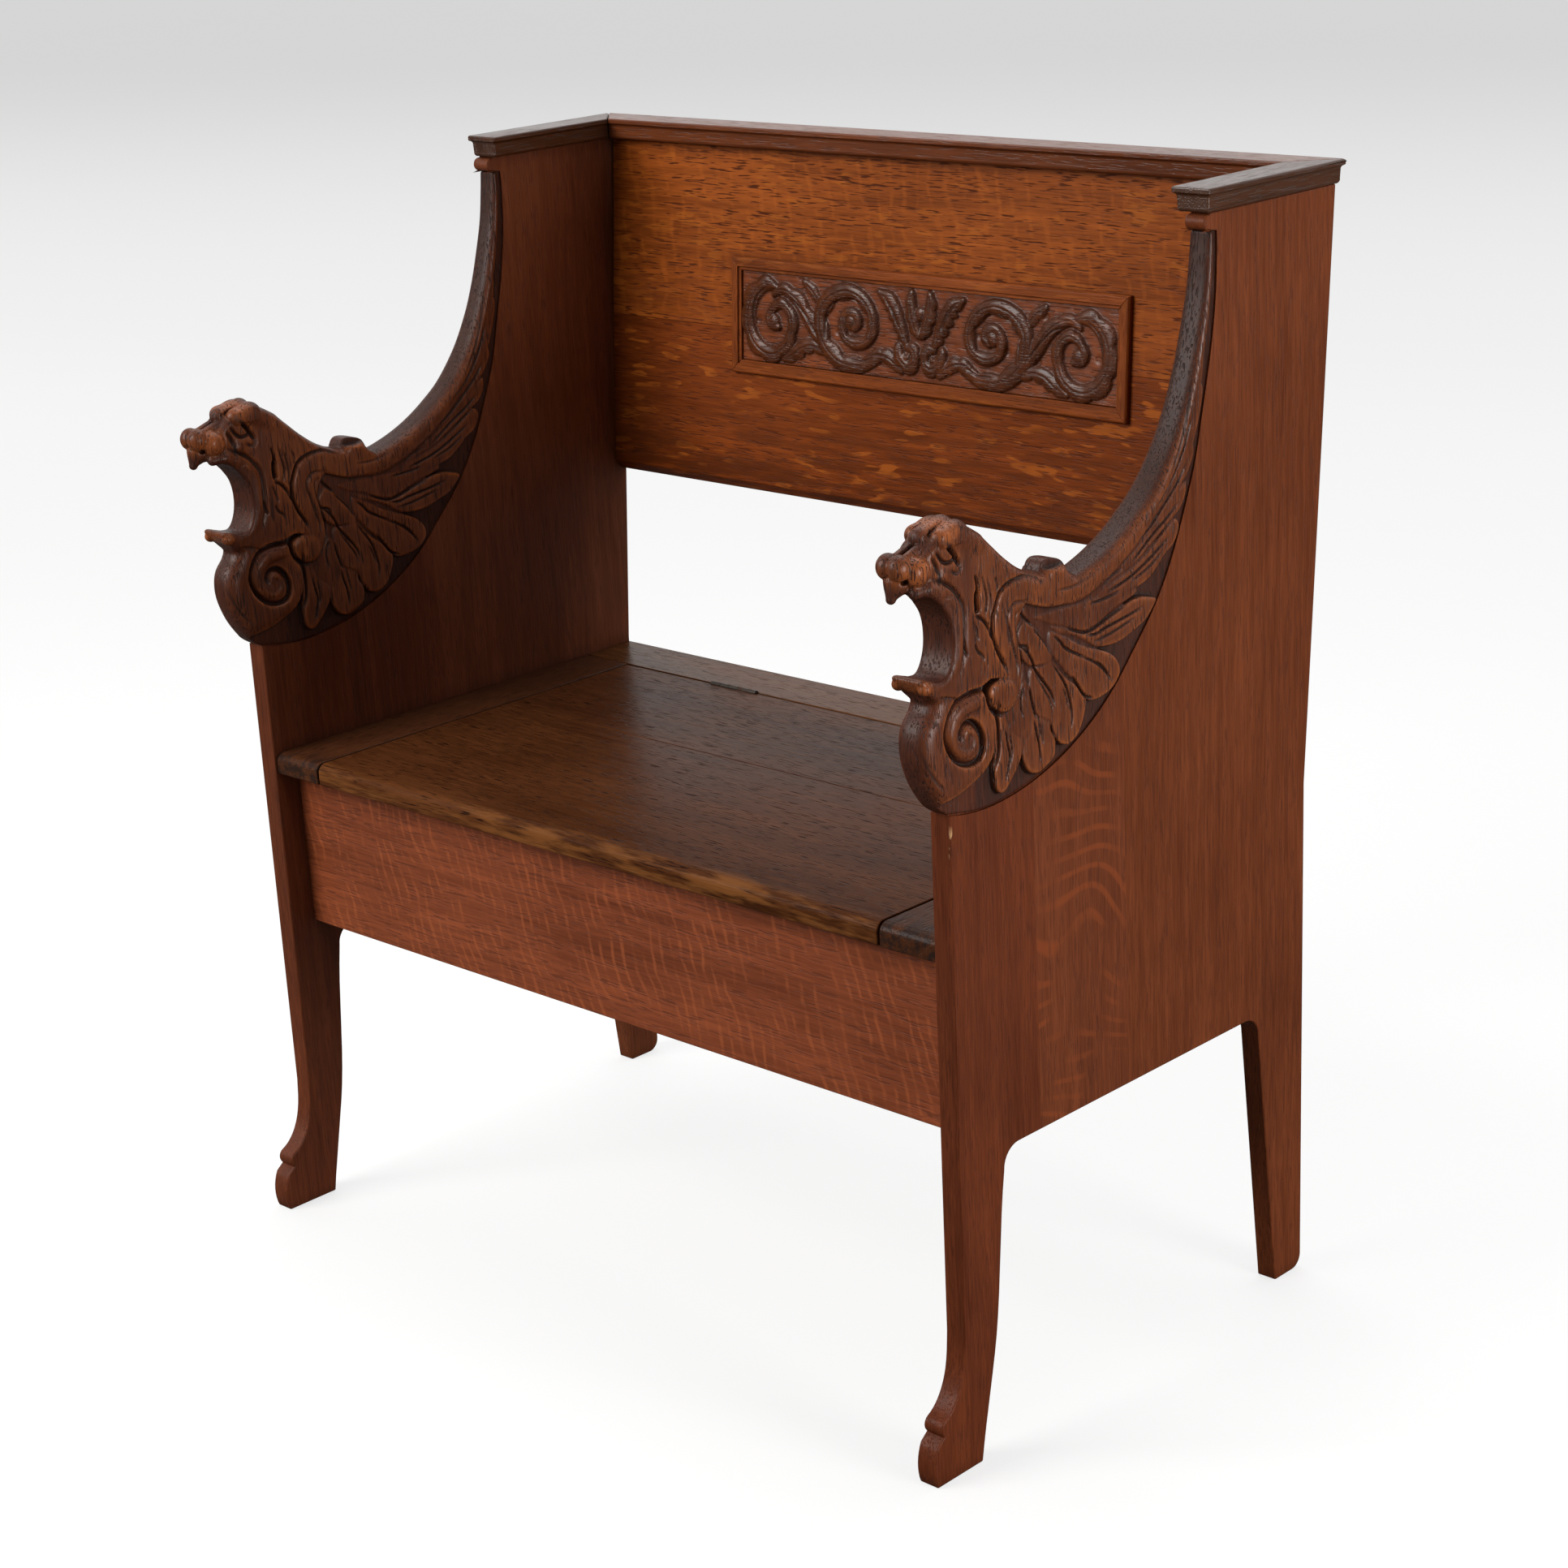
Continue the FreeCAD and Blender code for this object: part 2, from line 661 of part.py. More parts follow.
def on_slope(z):
    """Height up the leaning back that ends at a true height."""
    slope = math.hypot(back_lean, side_top - lean_start_height) / (side_top - lean_start_height)
    return lean_start_height + (z - lean_start_height) * slope


def back_boards():
    """Upper and lower back boards. The upper one has shrunk from the left side towards its top."""
    low, joint, high = on_slope(back_bottom_height), on_slope(back_joint_height), on_slope(side_top)
    reach = half_inner - back_end_clearance
    lower = block(-reach, reach, -back_thickness, 0, low, joint)
    bevel = Part.Face(Part.makePolygon([
        vec(-half_outer, -back_thickness - overrun, low - overrun),
        vec(-half_outer, -back_thickness - overrun, low + back_bevel_height),
        vec(-half_outer, -back_thickness, low + back_bevel_height),
        vec(-half_outer, -back_thickness + back_bevel_depth, low),
        vec(-half_outer, -back_thickness + back_bevel_depth, low - overrun),
        vec(-half_outer, -back_thickness - overrun, low - overrun)]))
    lower = lower.cut(bevel.extrude(vec(2 * half_outer, 0, 0)))
    rise = high + overrun
    front = -back_thickness
    shape = Part.Face(Part.makePolygon([
        vec(-reach, front, joint), vec(reach, front, joint), vec(reach, front, rise),
        vec(-reach + back_end_gap, front, rise), vec(-reach, front, joint)]))
    upper = shape.extrude(vec(0, back_thickness, 0))
    level = block(-half_outer, half_outer, -half_outer, half_outer, 0, side_top)
    return raked(upper).common(level), raked(lower)


def frame_member(length, turn, place):
    """One mitred member of the frame, with a stepped inner edge."""
    half = length / 2
    wide = frame_member_width
    section = Part.Face(Part.makePolygon([
        vec(-half, 0, 0), vec(-half, -frame_rise + frame_step_depth, 0),
        vec(-half, -frame_rise, -frame_step_width / 2), vec(-half, -frame_rise, -wide + frame_step_width),
        vec(-half, -frame_rise + frame_step_depth, -wide + frame_step_width),
        vec(-half, -frame_rise + frame_step_depth, -wide), vec(-half, 0, -wide), vec(-half, 0, 0)]))
    bar = section.extrude(vec(length, 0, 0))
    reach = wide + overrun
    for side in (-1, 1):
        corner = [vec(side * half, -frame_rise - overrun, 0),
                  vec(side * (half - reach), -frame_rise - overrun, -reach),
                  vec(side * (half + overrun), -frame_rise - overrun, -reach),
                  vec(side * (half + overrun), -frame_rise - overrun, 0)]
        wedge = Part.Face(Part.makePolygon(corner + corner[:1])).extrude(vec(0, frame_rise + 2 * overrun, 0))
        bar = bar.cut(wedge)
    bar.rotate(vec(0, 0, 0), vec(0, 1, 0), turn)
    bar.translate(place)
    return bar


def frame_members():
    centre = on_slope(frame_centre_height)
    front = -back_thickness
    half_long = frame_outer_length / 2
    half_high = frame_outer_height / 2
    return {
        "panel_frame_top": raked(frame_member(frame_outer_length, 0, vec(0, front, centre + half_high))),
        "panel_frame_bottom": raked(frame_member(frame_outer_length, 180, vec(0, front, centre - half_high))),
        "panel_frame_right": raked(frame_member(frame_outer_height, 90, vec(half_long, front, centre))),
        "panel_frame_left": raked(frame_member(frame_outer_height, -90, vec(-half_long, front, centre))),
    }


def laid_flat(shape):
    """Turns a piece drawn in the YZ plane to face the front, with its Y along X."""
    shape.rotate(vec(0, 0, 0), vec(0, 0, 1), -90)
    return shape


def flat_leaf(shares, half_long, half_high):
    """A leaf of the panel: six corners on the ground and a ridge over its middle."""
    root = (shares[0] * half_long, shares[1] * half_high)
    tip = (shares[2] * half_long, shares[3] * half_high)
    width = shares[4] * half_long
    run = (tip[0] - root[0], tip[1] - root[1])
    length = math.hypot(*run)

    def place(along, across, rise):
        return vec(root[0] + run[0] * along - run[1] / length * width * across, -rise,
                   root[1] + run[1] * along + run[0] / length * width * across)

    corners = [place(along, across, 0) for along, across in leaf_corner_shares]
    low, high = [place(along, 0, leaf_rise) for along in leaf_ridge_shares]
    outlines = [corners]
    for a, b, top in ((0, 1, low), (5, 0, low), (2, 3, high), (3, 4, high)):
        outlines.append([corners[a], corners[b], top])
    for a, b, first, second in ((1, 2, low, high), (4, 5, high, low)):
        outlines.append([corners[a], corners[b], second])
        outlines.append([corners[a], second, first])
    faces = [Part.Face(Part.makePolygon(outline + outline[:1])) for outline in outlines]
    return Part.Solid(Part.Shell(faces))


def panel_scroll(centre, half_long, half_high, inner):
    """One rolled stem of the panel's right half, with its eye. The inner scroll starts at its foot."""
    turns = scroll_turns if inner else -scroll_turns
    middle = (centre[0] * half_long, centre[1] * half_high)
    points = spiral(middle, -90 if inner else 90, turns, scroll_outer_radius, scroll_inner_radius,
                    scroll_step_count)
    widths = [scroll_band_width * (1 - scroll_taper_share * step / scroll_step_count)
              for step in range(scroll_step_count + 1)]
    band = plate(closed_band(points, widths), 0, scroll_rise)
    eye = Part.makeCylinder(scroll_eye_radius, scroll_rise, vec(0, *middle), vec(1, 0, 0))
    return [band, eye]


def carved_panel():
    """The carved panel inside the frame, with four rolled stems about a central leaf."""
    half_long = frame_outer_length / 2 - frame_member_width - fitting_clearance
    half_high = frame_outer_height / 2 - frame_member_width - fitting_clearance
    ground = block(-half_long, half_long, -panel_thickness, 0, -half_high, half_high)
    raised = []
    for index, centre in enumerate(scroll_centre_shares):
        raised += panel_scroll(centre, half_long, half_high, index == 0)
    widths = [stem_width * share for share in stem_width_shares]
    for shares in stem_shares:
        points = [(across * half_long, up * half_high) for across, up in shares]
        raised.append(plate(closed_band(points, widths), 0, scroll_rise))
    pieces = [laid_flat(piece) for piece in raised]
    pieces += [flat_leaf(shares, half_long, half_high) for shares in leaf_shares]
    pieces += [mirrored(piece) for piece in pieces]
    for piece in pieces:
        piece.translate(vec(0, -panel_thickness, 0))
    panel = fused([ground] + pieces)
    panel.translate(vec(0, -back_thickness, on_slope(frame_centre_height)))
    return raked(panel)


# Seat

def nosed(x0, x1, y0, y1, z0, z1):
    """A seat board with its front edge rounded."""
    board = block(x0, x1, y0, y1, z0, z1)
    top = edges_where(board, lambda box: box.YMax < y0 + small_edge and box.ZMin > z1 - small_edge)
    board = board.makeFillet(nose_top_radius, top)
    bottom = edges_where(board, lambda box: box.YMax < y0 + small_edge and box.ZMax < z0 + small_edge)
    return board.makeFillet(nose_bottom_radius, bottom)


def hinge_recess(centre_x):
    """Room for one hinge's barrel and leaves in the rail and the lid."""
    half = hinge_length / 2 + hinge_mortise_clearance
    radius = hinge_barrel_radius + hinge_mortise_clearance
    start = vec(centre_x - half, hinge_axis_y, seat_height)
    barrel = Part.makeCylinder(radius, 2 * half, start, vec(1, 0, 0))
    depth = seam_gap / 2 + hinge_leaf_thickness
    leaves = block(centre_x - half, centre_x + half, hinge_axis_y - depth, hinge_axis_y + depth,
                   seat_height - hinge_leaf_depth - hinge_mortise_clearance, seat_height + overrun)
    return barrel.fuse(leaves)


def hinge_recesses():
    return [hinge_recess(side * hinge_offset) for side in (-1, 1)]


def hinge_screw_places():
    """Centres of the hinge screws along X."""
    first = -(hinge_screw_count - 1) / 2
    return [side * hinge_offset + (first + index) * hinge_screw_pitch for side in (-1, 1)
            for index in range(hinge_screw_count)]


def screw(head, direction, length, radius_gap=0):
    """A countersunk screw whose head lies flush at the given point."""
    shank_radius = screw_shank_radius + radius_gap
    cone = Part.makeCone(screw_head_radius + radius_gap, shank_radius, screw_head_height, head, direction)
    shank = Part.makeCylinder(shank_radius, length, head, direction)
    return cone.fuse(shank).removeSplitter()


def hinge_screws(side, radius_gap=0):
    """Screws through one set of leaves: side +1 goes into the rail, -1 into the lid."""
    y = hinge_axis_y + side * seam_gap / 2
    z = seat_height - hinge_screw_drop
    way = vec(0, side, 0)
    return [screw(vec(x, y, z), way, hinge_screw_length, radius_gap) for x in hinge_screw_places()]


def hinge_leaves(side):
    """The leaves of both hinges on one side of the seam, with their knuckles."""
    leaves = []
    pitch = hinge_length / hinge_knuckle_count
    bore = hinge_pin_radius + hinge_pin_clearance
    for centre in (-hinge_offset, hinge_offset):
        start = centre - hinge_length / 2
        inner = hinge_axis_y + side * seam_gap / 2
        outer = inner + side * hinge_leaf_thickness
        flat = block(start, start + hinge_length, min(inner, outer), max(inner, outer),
                     seat_height - hinge_leaf_depth, seat_height)
        own, other = [], []
        for index in range(hinge_knuckle_count):
            is_own = (index % 2 == 0) == (side > 0)
            gap = hinge_knuckle_gap / 2 if is_own else -hinge_knuckle_gap / 2
            radius = hinge_barrel_radius if is_own else hinge_barrel_radius + hinge_knuckle_gap
            low = start + index * pitch + (gap if index else 0)
            high = start + (index + 1) * pitch - (gap if index < hinge_knuckle_count - 1 else 0)
            ring = Part.makeCylinder(radius, high - low, vec(low, hinge_axis_y, seat_height), vec(1, 0, 0))
            (own if is_own else other).append(ring)
        pin_hole = Part.makeCylinder(bore, hinge_length + 2 * overrun, vec(start - overrun, hinge_axis_y,
                                                                           seat_height), vec(1, 0, 0))
        leaves.append(flat.cut(other).multiFuse(own).cut(pin_hole))
    both = leaves[0].fuse(leaves[1])
    return both.cut(hinge_screws(side, fitting_clearance / 2))


def hinge_pins():
    start = -hinge_length / 2
    pins = [Part.makeCylinder(hinge_pin_radius, hinge_length, vec(centre + start, hinge_axis_y, seat_height),
                              vec(1, 0, 0)) for centre in (-hinge_offset, hinge_offset)]
    return Part.makeCompound(pins)


def seat_frame():
    """The fixed part of the seat: rear rail and side strips."""
    front = -apron_reach - nose_overhang
    rail = block(-half_inner, half_inner, -rail_depth, 0, seat_underside, seat_height)
    rail = rail.cut(hinge_recesses() + hinge_screws(1))
    strip = nosed(half_inner - strip_width, half_inner, front, -rail_depth, seat_underside, seat_height)
    return rail, strip


def lid_boards():
    half_lid = half_inner - strip_width - seam_gap
    front = -apron_reach - nose_overhang
    rear = -rail_depth - seam_gap
    underside = seat_underside + fitting_clearance
    front_board = nosed(-half_lid, half_lid, front, -lid_joint_reach, underside, seat_height)
    rear_board = block(-half_lid, half_lid, -lid_joint_reach, rear, underside, seat_height)
    rear_board = rear_board.cut(hinge_recesses() + hinge_screws(-1))
    return front_board, rear_board


def batten_span():
    return (-apron_reach + apron_thickness + batten_front_gap, -rail_depth - seam_gap - batten_rear_gap)


def batten_screw_places():
    start, end = batten_span()
    start += batten_screw_margin
    end -= batten_screw_margin
    return [start + (end - start) * index / (batten_screw_count - 1) for index in range(batten_screw_count)]


def batten_screws(radius_gap=0):
    underside = seat_underside + fitting_clearance - batten_thickness
    return [screw(vec(side * batten_offset, y, underside), vec(0, 0, 1), batten_screw_length, radius_gap)
            for side in (-1, 1) for y in batten_screw_places()]


def batten():
    start, end = batten_span()
    top = seat_underside + fitting_clearance
    return block(batten_offset - batten_width / 2, batten_offset + batten_width / 2, start, end,
                 top - batten_thickness, top)


# Box under the seat

def box_pieces():
    apron_back = -apron_reach + apron_thickness
    floor_base = apron_bottom + floor_cleat_height
    floor_front = apron_back + fitting_clearance
    floor_back = -box_back_thickness - fitting_clearance
    pieces = {}
    pieces["front_apron"] = block(-half_inner, half_inner, -apron_reach, apron_back, apron_bottom,
                                  seat_underside)
    pieces["box_back"] = block(-half_inner, half_inner, -box_back_thickness, 0, apron_bottom, seat_underside)
    inner_low, inner_high = half_inner - floor_cleat_width, half_inner
    cleat_top = floor_base
    pieces["floor_cleat_right"] = block(inner_low, inner_high, apron_back, -box_back_thickness, apron_bottom,
                                        cleat_top)
    pieces["floor_cleat_left"] = mirrored(pieces["floor_cleat_right"])
    pieces["floor_cleat_front"] = block(-inner_low, inner_low, apron_back, apron_back + floor_cleat_width,
                                        apron_bottom, cleat_top)
    pieces["floor_cleat_rear"] = block(-inner_low, inner_low, -box_back_thickness - floor_cleat_width,
                                       -box_back_thickness, apron_bottom, cleat_top)
    depth = (floor_back - floor_front - (floor_board_count - 1) * floor_board_gap) / floor_board_count
    for index in range(floor_board_count):
        start = floor_front + index * (depth + floor_board_gap)
        pieces["floor_board_%d" % (index + 1)] = block(
            -half_inner + fitting_clearance, half_inner - fitting_clearance, start, start + depth, floor_base,
            floor_base + floor_thickness)
    bearer_low = seat_underside - bearer_height
    cleat_front = -box_back_thickness - rail_cleat_size
    pieces["bearer_right"] = block(half_inner - bearer_width, half_inner, apron_back, cleat_front, bearer_low,
                                   seat_underside)
    pieces["bearer_left"] = mirrored(pieces["bearer_right"])
    pieces["rail_cleat"] = block(-half_inner, half_inner, cleat_front, -box_back_thickness,
                                 seat_underside - rail_cleat_size, seat_underside)
    block_low = floor_base + floor_thickness + fitting_clearance
    corner = Part.Face(Part.makePolygon([
        vec(half_inner, apron_back, block_low), vec(half_inner - glue_block_leg, apron_back, block_low),
        vec(half_inner, apron_back + glue_block_leg, block_low), vec(half_inner, apron_back, block_low)]))
    pieces["glue_block_right"] = corner.extrude(vec(0, 0, glue_block_height))
    pieces["glue_block_left"] = mirrored(pieces["glue_block_right"])
    return pieces


# Dowels

def back_dowel_centres():
    """Heights of the dowels that pin the back's ends into the sides."""
    heights = []
    for low, high in ((back_bottom_height, back_joint_height), (back_joint_height, side_top)):
        heights += [low + back_dowel_margin, high - back_dowel_margin]
    return heights[:back_dowel_count]


def back_dowels(radius_gap=0):
    half = dowel_length / 2
    dowels = []
    for z in back_dowel_centres():
        y = back_edge_y(z) - back_thickness / 2
        for side in (-1, 1):
            centre = side * half_inner
            dowels.append(Part.makeCylinder(dowel_radius + radius_gap, dowel_length + 2 * radius_gap,
                                            vec(centre - half - radius_gap, y, z), vec(1, 0, 0)))
    return dowels


def cap_dowels(radius_gap=0):
    half = cap_dowel_length / 2
    centres = []
    start = -cap_front_reach + cap_dowel_margin
    end = back_lean - cap_dowel_margin
    back_reach = half_inner - 2 * cap_dowel_margin
    for index in range(cap_dowel_count):
        share = index / (cap_dowel_count - 1)
        for side in (-1, 1):
            centres.append((side * (half_inner + side_thickness / 2), start + (end - start) * share))
        centres.append(((2 * share - 1) * back_reach, back_lean - back_thickness / 2))
    return [Part.makeCylinder(dowel_radius + radius_gap, cap_dowel_length + 2 * radius_gap,
                              vec(x, y, side_top - half - radius_gap), vec(0, 0, 1)) for x, y in centres]


def box_dowels(radius_gap=0):
    """Dowels that join the apron and the back of the box to the sides."""
    half = dowel_length / 2
    dowels = []
    for y in (-apron_reach + apron_thickness / 2, -box_back_thickness / 2):
        for z in (apron_bottom + box_dowel_margin, seat_underside - box_dowel_margin):
            for side in (-1, 1):
                start = vec(side * half_inner - half - radius_gap, y, z)
                length = dowel_length + 2 * radius_gap
                dowels.append(Part.makeCylinder(dowel_radius + radius_gap, length, start, vec(1, 0, 0)))
    return dowels


# Screws under the fixed part of the seat

def bearer_screws():
    """Screws up through the bearers into the side strips."""
    start = -apron_reach + apron_thickness + bearer_screw_margin
    end = -box_back_thickness - rail_cleat_size - bearer_screw_margin
    base = seat_underside - bearer_height
    x = half_inner - strip_width / 2
    pitch = (end - start) / (bearer_screw_count - 1)
    return [screw(vec(side * x, start + pitch * index, base), vec(0, 0, 1), bearer_screw_length)
            for side in (-1, 1) for index in range(bearer_screw_count)]


def rail_screws():
    """Screws up through the cleat into the rear rail."""
    reach = half_inner - rail_screw_margin
    y = -box_back_thickness - rail_cleat_size / 2
    base = seat_underside - rail_cleat_size
    pitch = 2 * reach / (rail_screw_count - 1)
    return [screw(vec(-reach + pitch * index, y, base), vec(0, 0, 1), bearer_screw_length)
            for index in range(rail_screw_count)]


def build():
    nodes = {}
    holes = back_dowels(dowel_clearance) + cap_dowels(dowel_clearance)
    box_holes = box_dowels(dowel_clearance)
    carving = griffin_carving()
    inner_carving = face_mirrored(carving)
    for name, board in zip(("front", "middle", "rear"), side_boards()):
        nodes["right_%s_board" % name] = board.cut(holes + box_holes)
        nodes["left_%s_board" % name] = mirrored(board).cut(holes + box_holes)
    nodes["right_outer_carving"] = carving
    nodes["right_inner_carving"] = inner_carving
    nodes["left_outer_carving"] = mirrored(carving)
    nodes["left_inner_carving"] = mirrored(inner_carving)
    left_cap, right_cap, back_cap = caps()
    nodes["left_cap"] = left_cap.cut(holes)
    nodes["right_cap"] = right_cap.cut(holes)
    nodes["back_cap"] = back_cap.cut(holes)
    upper, lower = back_boards()
    nodes["back_upper_board"] = upper.cut(holes)
    nodes["back_lower_board"] = lower.cut(holes)
    nodes.update(frame_members())
    nodes["carved_panel"] = carved_panel()
    rail, strip = seat_frame()
    nodes["seat_rear_rail"] = rail.cut(rail_screws())
    nodes["seat_right_strip"] = strip.cut(bearer_screws())
    nodes["seat_left_strip"] = mirrored(strip).cut(bearer_screws())
    front_board, rear_board = lid_boards()
    thread_holes = batten_screws()
    nodes["lid_front_board"] = front_board.cut(thread_holes)
    nodes["lid_rear_board"] = rear_board.cut(thread_holes)
    nodes["lid_batten_right"] = batten().cut(batten_screws())
    nodes["lid_batten_left"] = mirrored(batten()).cut(batten_screws())
    nodes["lid_batten_screws"] = Part.makeCompound(batten_screws())
    nodes["hinge_fixed_leaves"] = hinge_leaves(1)
    nodes["hinge_lid_leaves"] = hinge_leaves(-1)
    nodes["hinge_pins"] = hinge_pins()
    nodes["hinge_fixed_screws"] = Part.makeCompound(hinge_screws(1))
    nodes["hinge_lid_screws"] = Part.makeCompound(hinge_screws(-1))
    nodes.update(box_pieces())
    for name in ("front_apron", "box_back"):
        nodes[name] = nodes[name].cut(box_holes)
    for name in ("bearer_left", "bearer_right"):
        nodes[name] = nodes[name].cut(bearer_screws())
    nodes["rail_cleat"] = nodes["rail_cleat"].cut(rail_screws())
    nodes["bearer_screws"] = Part.makeCompound(bearer_screws())
    nodes["rail_screws"] = Part.makeCompound(rail_screws())
    nodes["box_dowels"] = Part.makeCompound(box_dowels())
    nodes["back_dowels"] = Part.makeCompound(back_dowels())
    nodes["cap_dowels"] = Part.makeCompound(cap_dowels())
    return nodes


# The origin moves to the middle of the bench's depth
depth_front = -front_edge_reach - ankle_lean - toe_length
depth_back = back_lean + cap_back_overhang
to_middle = vec(0, -(depth_front + depth_back) / 2, 0)

os.makedirs("parts", exist_ok=True)
for node, shape in build().items():
    shape.translate(to_middle)
    print(node, len(shape.Solids), round(shape.Volume), shape.isValid())
    shape.exportStep("parts/%s.step" % node)
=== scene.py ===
import math
import bmesh
import bpy
import numpy as np
import openvdb as vdb
from mathutils import Matrix, Vector


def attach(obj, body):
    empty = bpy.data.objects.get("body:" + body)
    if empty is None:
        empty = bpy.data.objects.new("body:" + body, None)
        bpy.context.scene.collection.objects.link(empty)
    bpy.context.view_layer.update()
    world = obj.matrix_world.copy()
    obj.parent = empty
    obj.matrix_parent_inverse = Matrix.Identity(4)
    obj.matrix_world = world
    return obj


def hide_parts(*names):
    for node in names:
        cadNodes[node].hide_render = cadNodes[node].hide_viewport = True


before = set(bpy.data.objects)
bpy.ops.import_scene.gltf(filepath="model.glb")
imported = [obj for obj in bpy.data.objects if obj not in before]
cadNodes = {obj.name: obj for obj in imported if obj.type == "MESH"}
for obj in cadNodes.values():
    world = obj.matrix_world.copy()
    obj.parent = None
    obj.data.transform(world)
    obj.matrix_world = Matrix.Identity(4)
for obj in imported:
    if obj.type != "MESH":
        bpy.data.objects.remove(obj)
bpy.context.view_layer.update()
scene = bpy.context.scene
mm = 0.001
# the sides' back edge stands this far behind the middle of the bench
backEdge = 0.23675


# shader wiring

class Wire:
    # one output socket that can be added, multiplied and so on
    def __init__(self, tree, socket):
        self.tree = tree
        self.socket = socket

    def math(self, operation, first, second=0.0, clamp=False):
        made = node(self.tree, "ShaderNodeMath", {"operation": operation, "use_clamp": clamp})
        feed(self.tree, made.inputs[0], first)
        feed(self.tree, made.inputs[1], second)
        return Wire(self.tree, made.outputs[0])

    def __add__(self, other):
        return self.math("ADD", self, other)

    def __radd__(self, other):
        return self.math("ADD", other, self)

    def __sub__(self, other):
        return self.math("SUBTRACT", self, other)

    def __rsub__(self, other):
        return self.math("SUBTRACT", other, self)

    def __mul__(self, other):
        return self.math("MULTIPLY", self, other)

    def __rmul__(self, other):
        return self.math("MULTIPLY", other, self)

    def clamped(self):
        return self.math("ADD", self, 0.0, clamp=True)

    def size(self):
        return self.math("ABSOLUTE", self)

    def wave(self):
        # from -1 to 1 and back
        return self.math("SINE", self)

    def above(self, low, high):
        # 0 up to low, 1 from high on, smooth between
        ramp = node(self.tree, "ShaderNodeMapRange", {"interpolation_type": "SMOOTHSTEP"},
                    {"Value": self, "From Min": low, "From Max": high})
        return Wire(self.tree, ramp.outputs[0])


def feed(tree, target, value):
    if isinstance(value, Wire):
        tree.links.new(value.socket, target)
    elif isinstance(value, bpy.types.NodeSocket):
        tree.links.new(value, target)
    else:
        target.default_value = value


def node(tree, kind, settings=None, values=None):
    # any node: its settings first, then its sockets
    made = tree.nodes.new(kind)
    for name, value in (settings or {}).items():
        setattr(made, name, value)
    for name, value in (values or {}).items():
        feed(tree, made.inputs[name], value)
    return made


def mixed(tree, share, first, second):
    made = node(tree, "ShaderNodeMix", {"data_type": "RGBA"})
    feed(tree, made.inputs[0], share)
    for place, value in ((6, first), (7, second)):
        feed(tree, made.inputs[place], (*value, 1.0) if isinstance(value, tuple) else value)
    return Wire(tree, made.outputs[2])


def noise(tree, place, scale, detail=2.0, rough=0.5, output="Fac"):
    made = node(tree, "ShaderNodeTexNoise", {}, {"Vector": place, "Scale": scale, "Detail": detail,
                                                 "Roughness": rough})
    return Wire(tree, made.outputs[output])


def vectors(tree, operation, first, second):
    made = node(tree, "ShaderNodeVectorMath", {"operation": operation})
    feed(tree, made.inputs[0], first)
    feed(tree, made.inputs[1], second)
    return Wire(tree, made.outputs["Value" if operation == "DOT_PRODUCT" else "Vector"])


def srgb(text):
    # colour from its hex digits, as linear light
    parts = [int(text[place:place + 2], 16) / 255 for place in (0, 2, 4)]
    return tuple(((part + 0.055) / 1.055) ** 2.4 if part > 0.04045 else part / 12.92 for part in parts)


def tinted(colour, shares):
    return tuple(min(1.0, part * share) for part, share in zip(colour, shares))


def newTree(name):
    material = bpy.data.materials.new(name)
    material.use_nodes = True
    material.node_tree.nodes.clear()
    return material, material.node_tree


def finished(tree, shader):
    feed(tree, node(tree, "ShaderNodeOutputMaterial").inputs[0], shader.outputs[0])


# oak

grainLayers = {
    # width across the grain in metres, stretch along it, detail and roughness of the noise
    "bands": (0.035, 12.0, 3.0, 0.5),
    "rings": (0.0065, 30.0, 3.0, 0.6),
    "fibres": (0.0016, 26.0, 2.0, 0.6),
    "flecks": (0.0066, 5.4, 1.0, 0.4),
    "pores": (0.0014, 13.0, 1.0, 0.4),
    "rubs": (0.009, 7.0, 3.0, 0.6),
}
shades = {
    # what the wood's own tone is multiplied by, in red, green and blue; the last entry is the colour of the
    # shade painted into inner corners
    "dark": (0.5, 0.45, 0.42), "light": (1.5, 1.52, 1.5),
    "bare dark": (0.62, 0.56, 0.52), "bare light": (1.5, 1.5, 1.45),
    "ripple": (1.8, 1.9, 1.7), "horns": (1.65, 1.5, 1.2), "flecks": (1.8, 2.1, 1.7),
    "pores": (0.3, 0.25, 0.22), "corners": (0.25, 0.25, 0.25),
}
# a look changes what it names here
plainOak = {
    "grain": 2, "tone": "6b3823", "offset": (0.0, 0.0, 0.0),
    # how strongly each layer lightens and darkens the wood
    "bands": 0.75, "rings": 1.0, "fibres": 1.0, "patches": 0.6,
    "pores": 0.4, "flecks": 0.0, "horns": 0.0, "ripple": 0.0, "rippleWay": (480.0, 0.0, 130.0),
    "rough": 0.4, "shine": 0.2, "relief": 0.5,
    # how dark the shade painted into inner corners is, and how far from a corner that reaches
    "corners": 0.7, "cornerReach": 0.014,
    # axis, from, to, colour and share of a part that hands have worn
    "wear": None,
    # place x and y, low and high z, and colour of a chipped upright edge
    "chips": None,
}


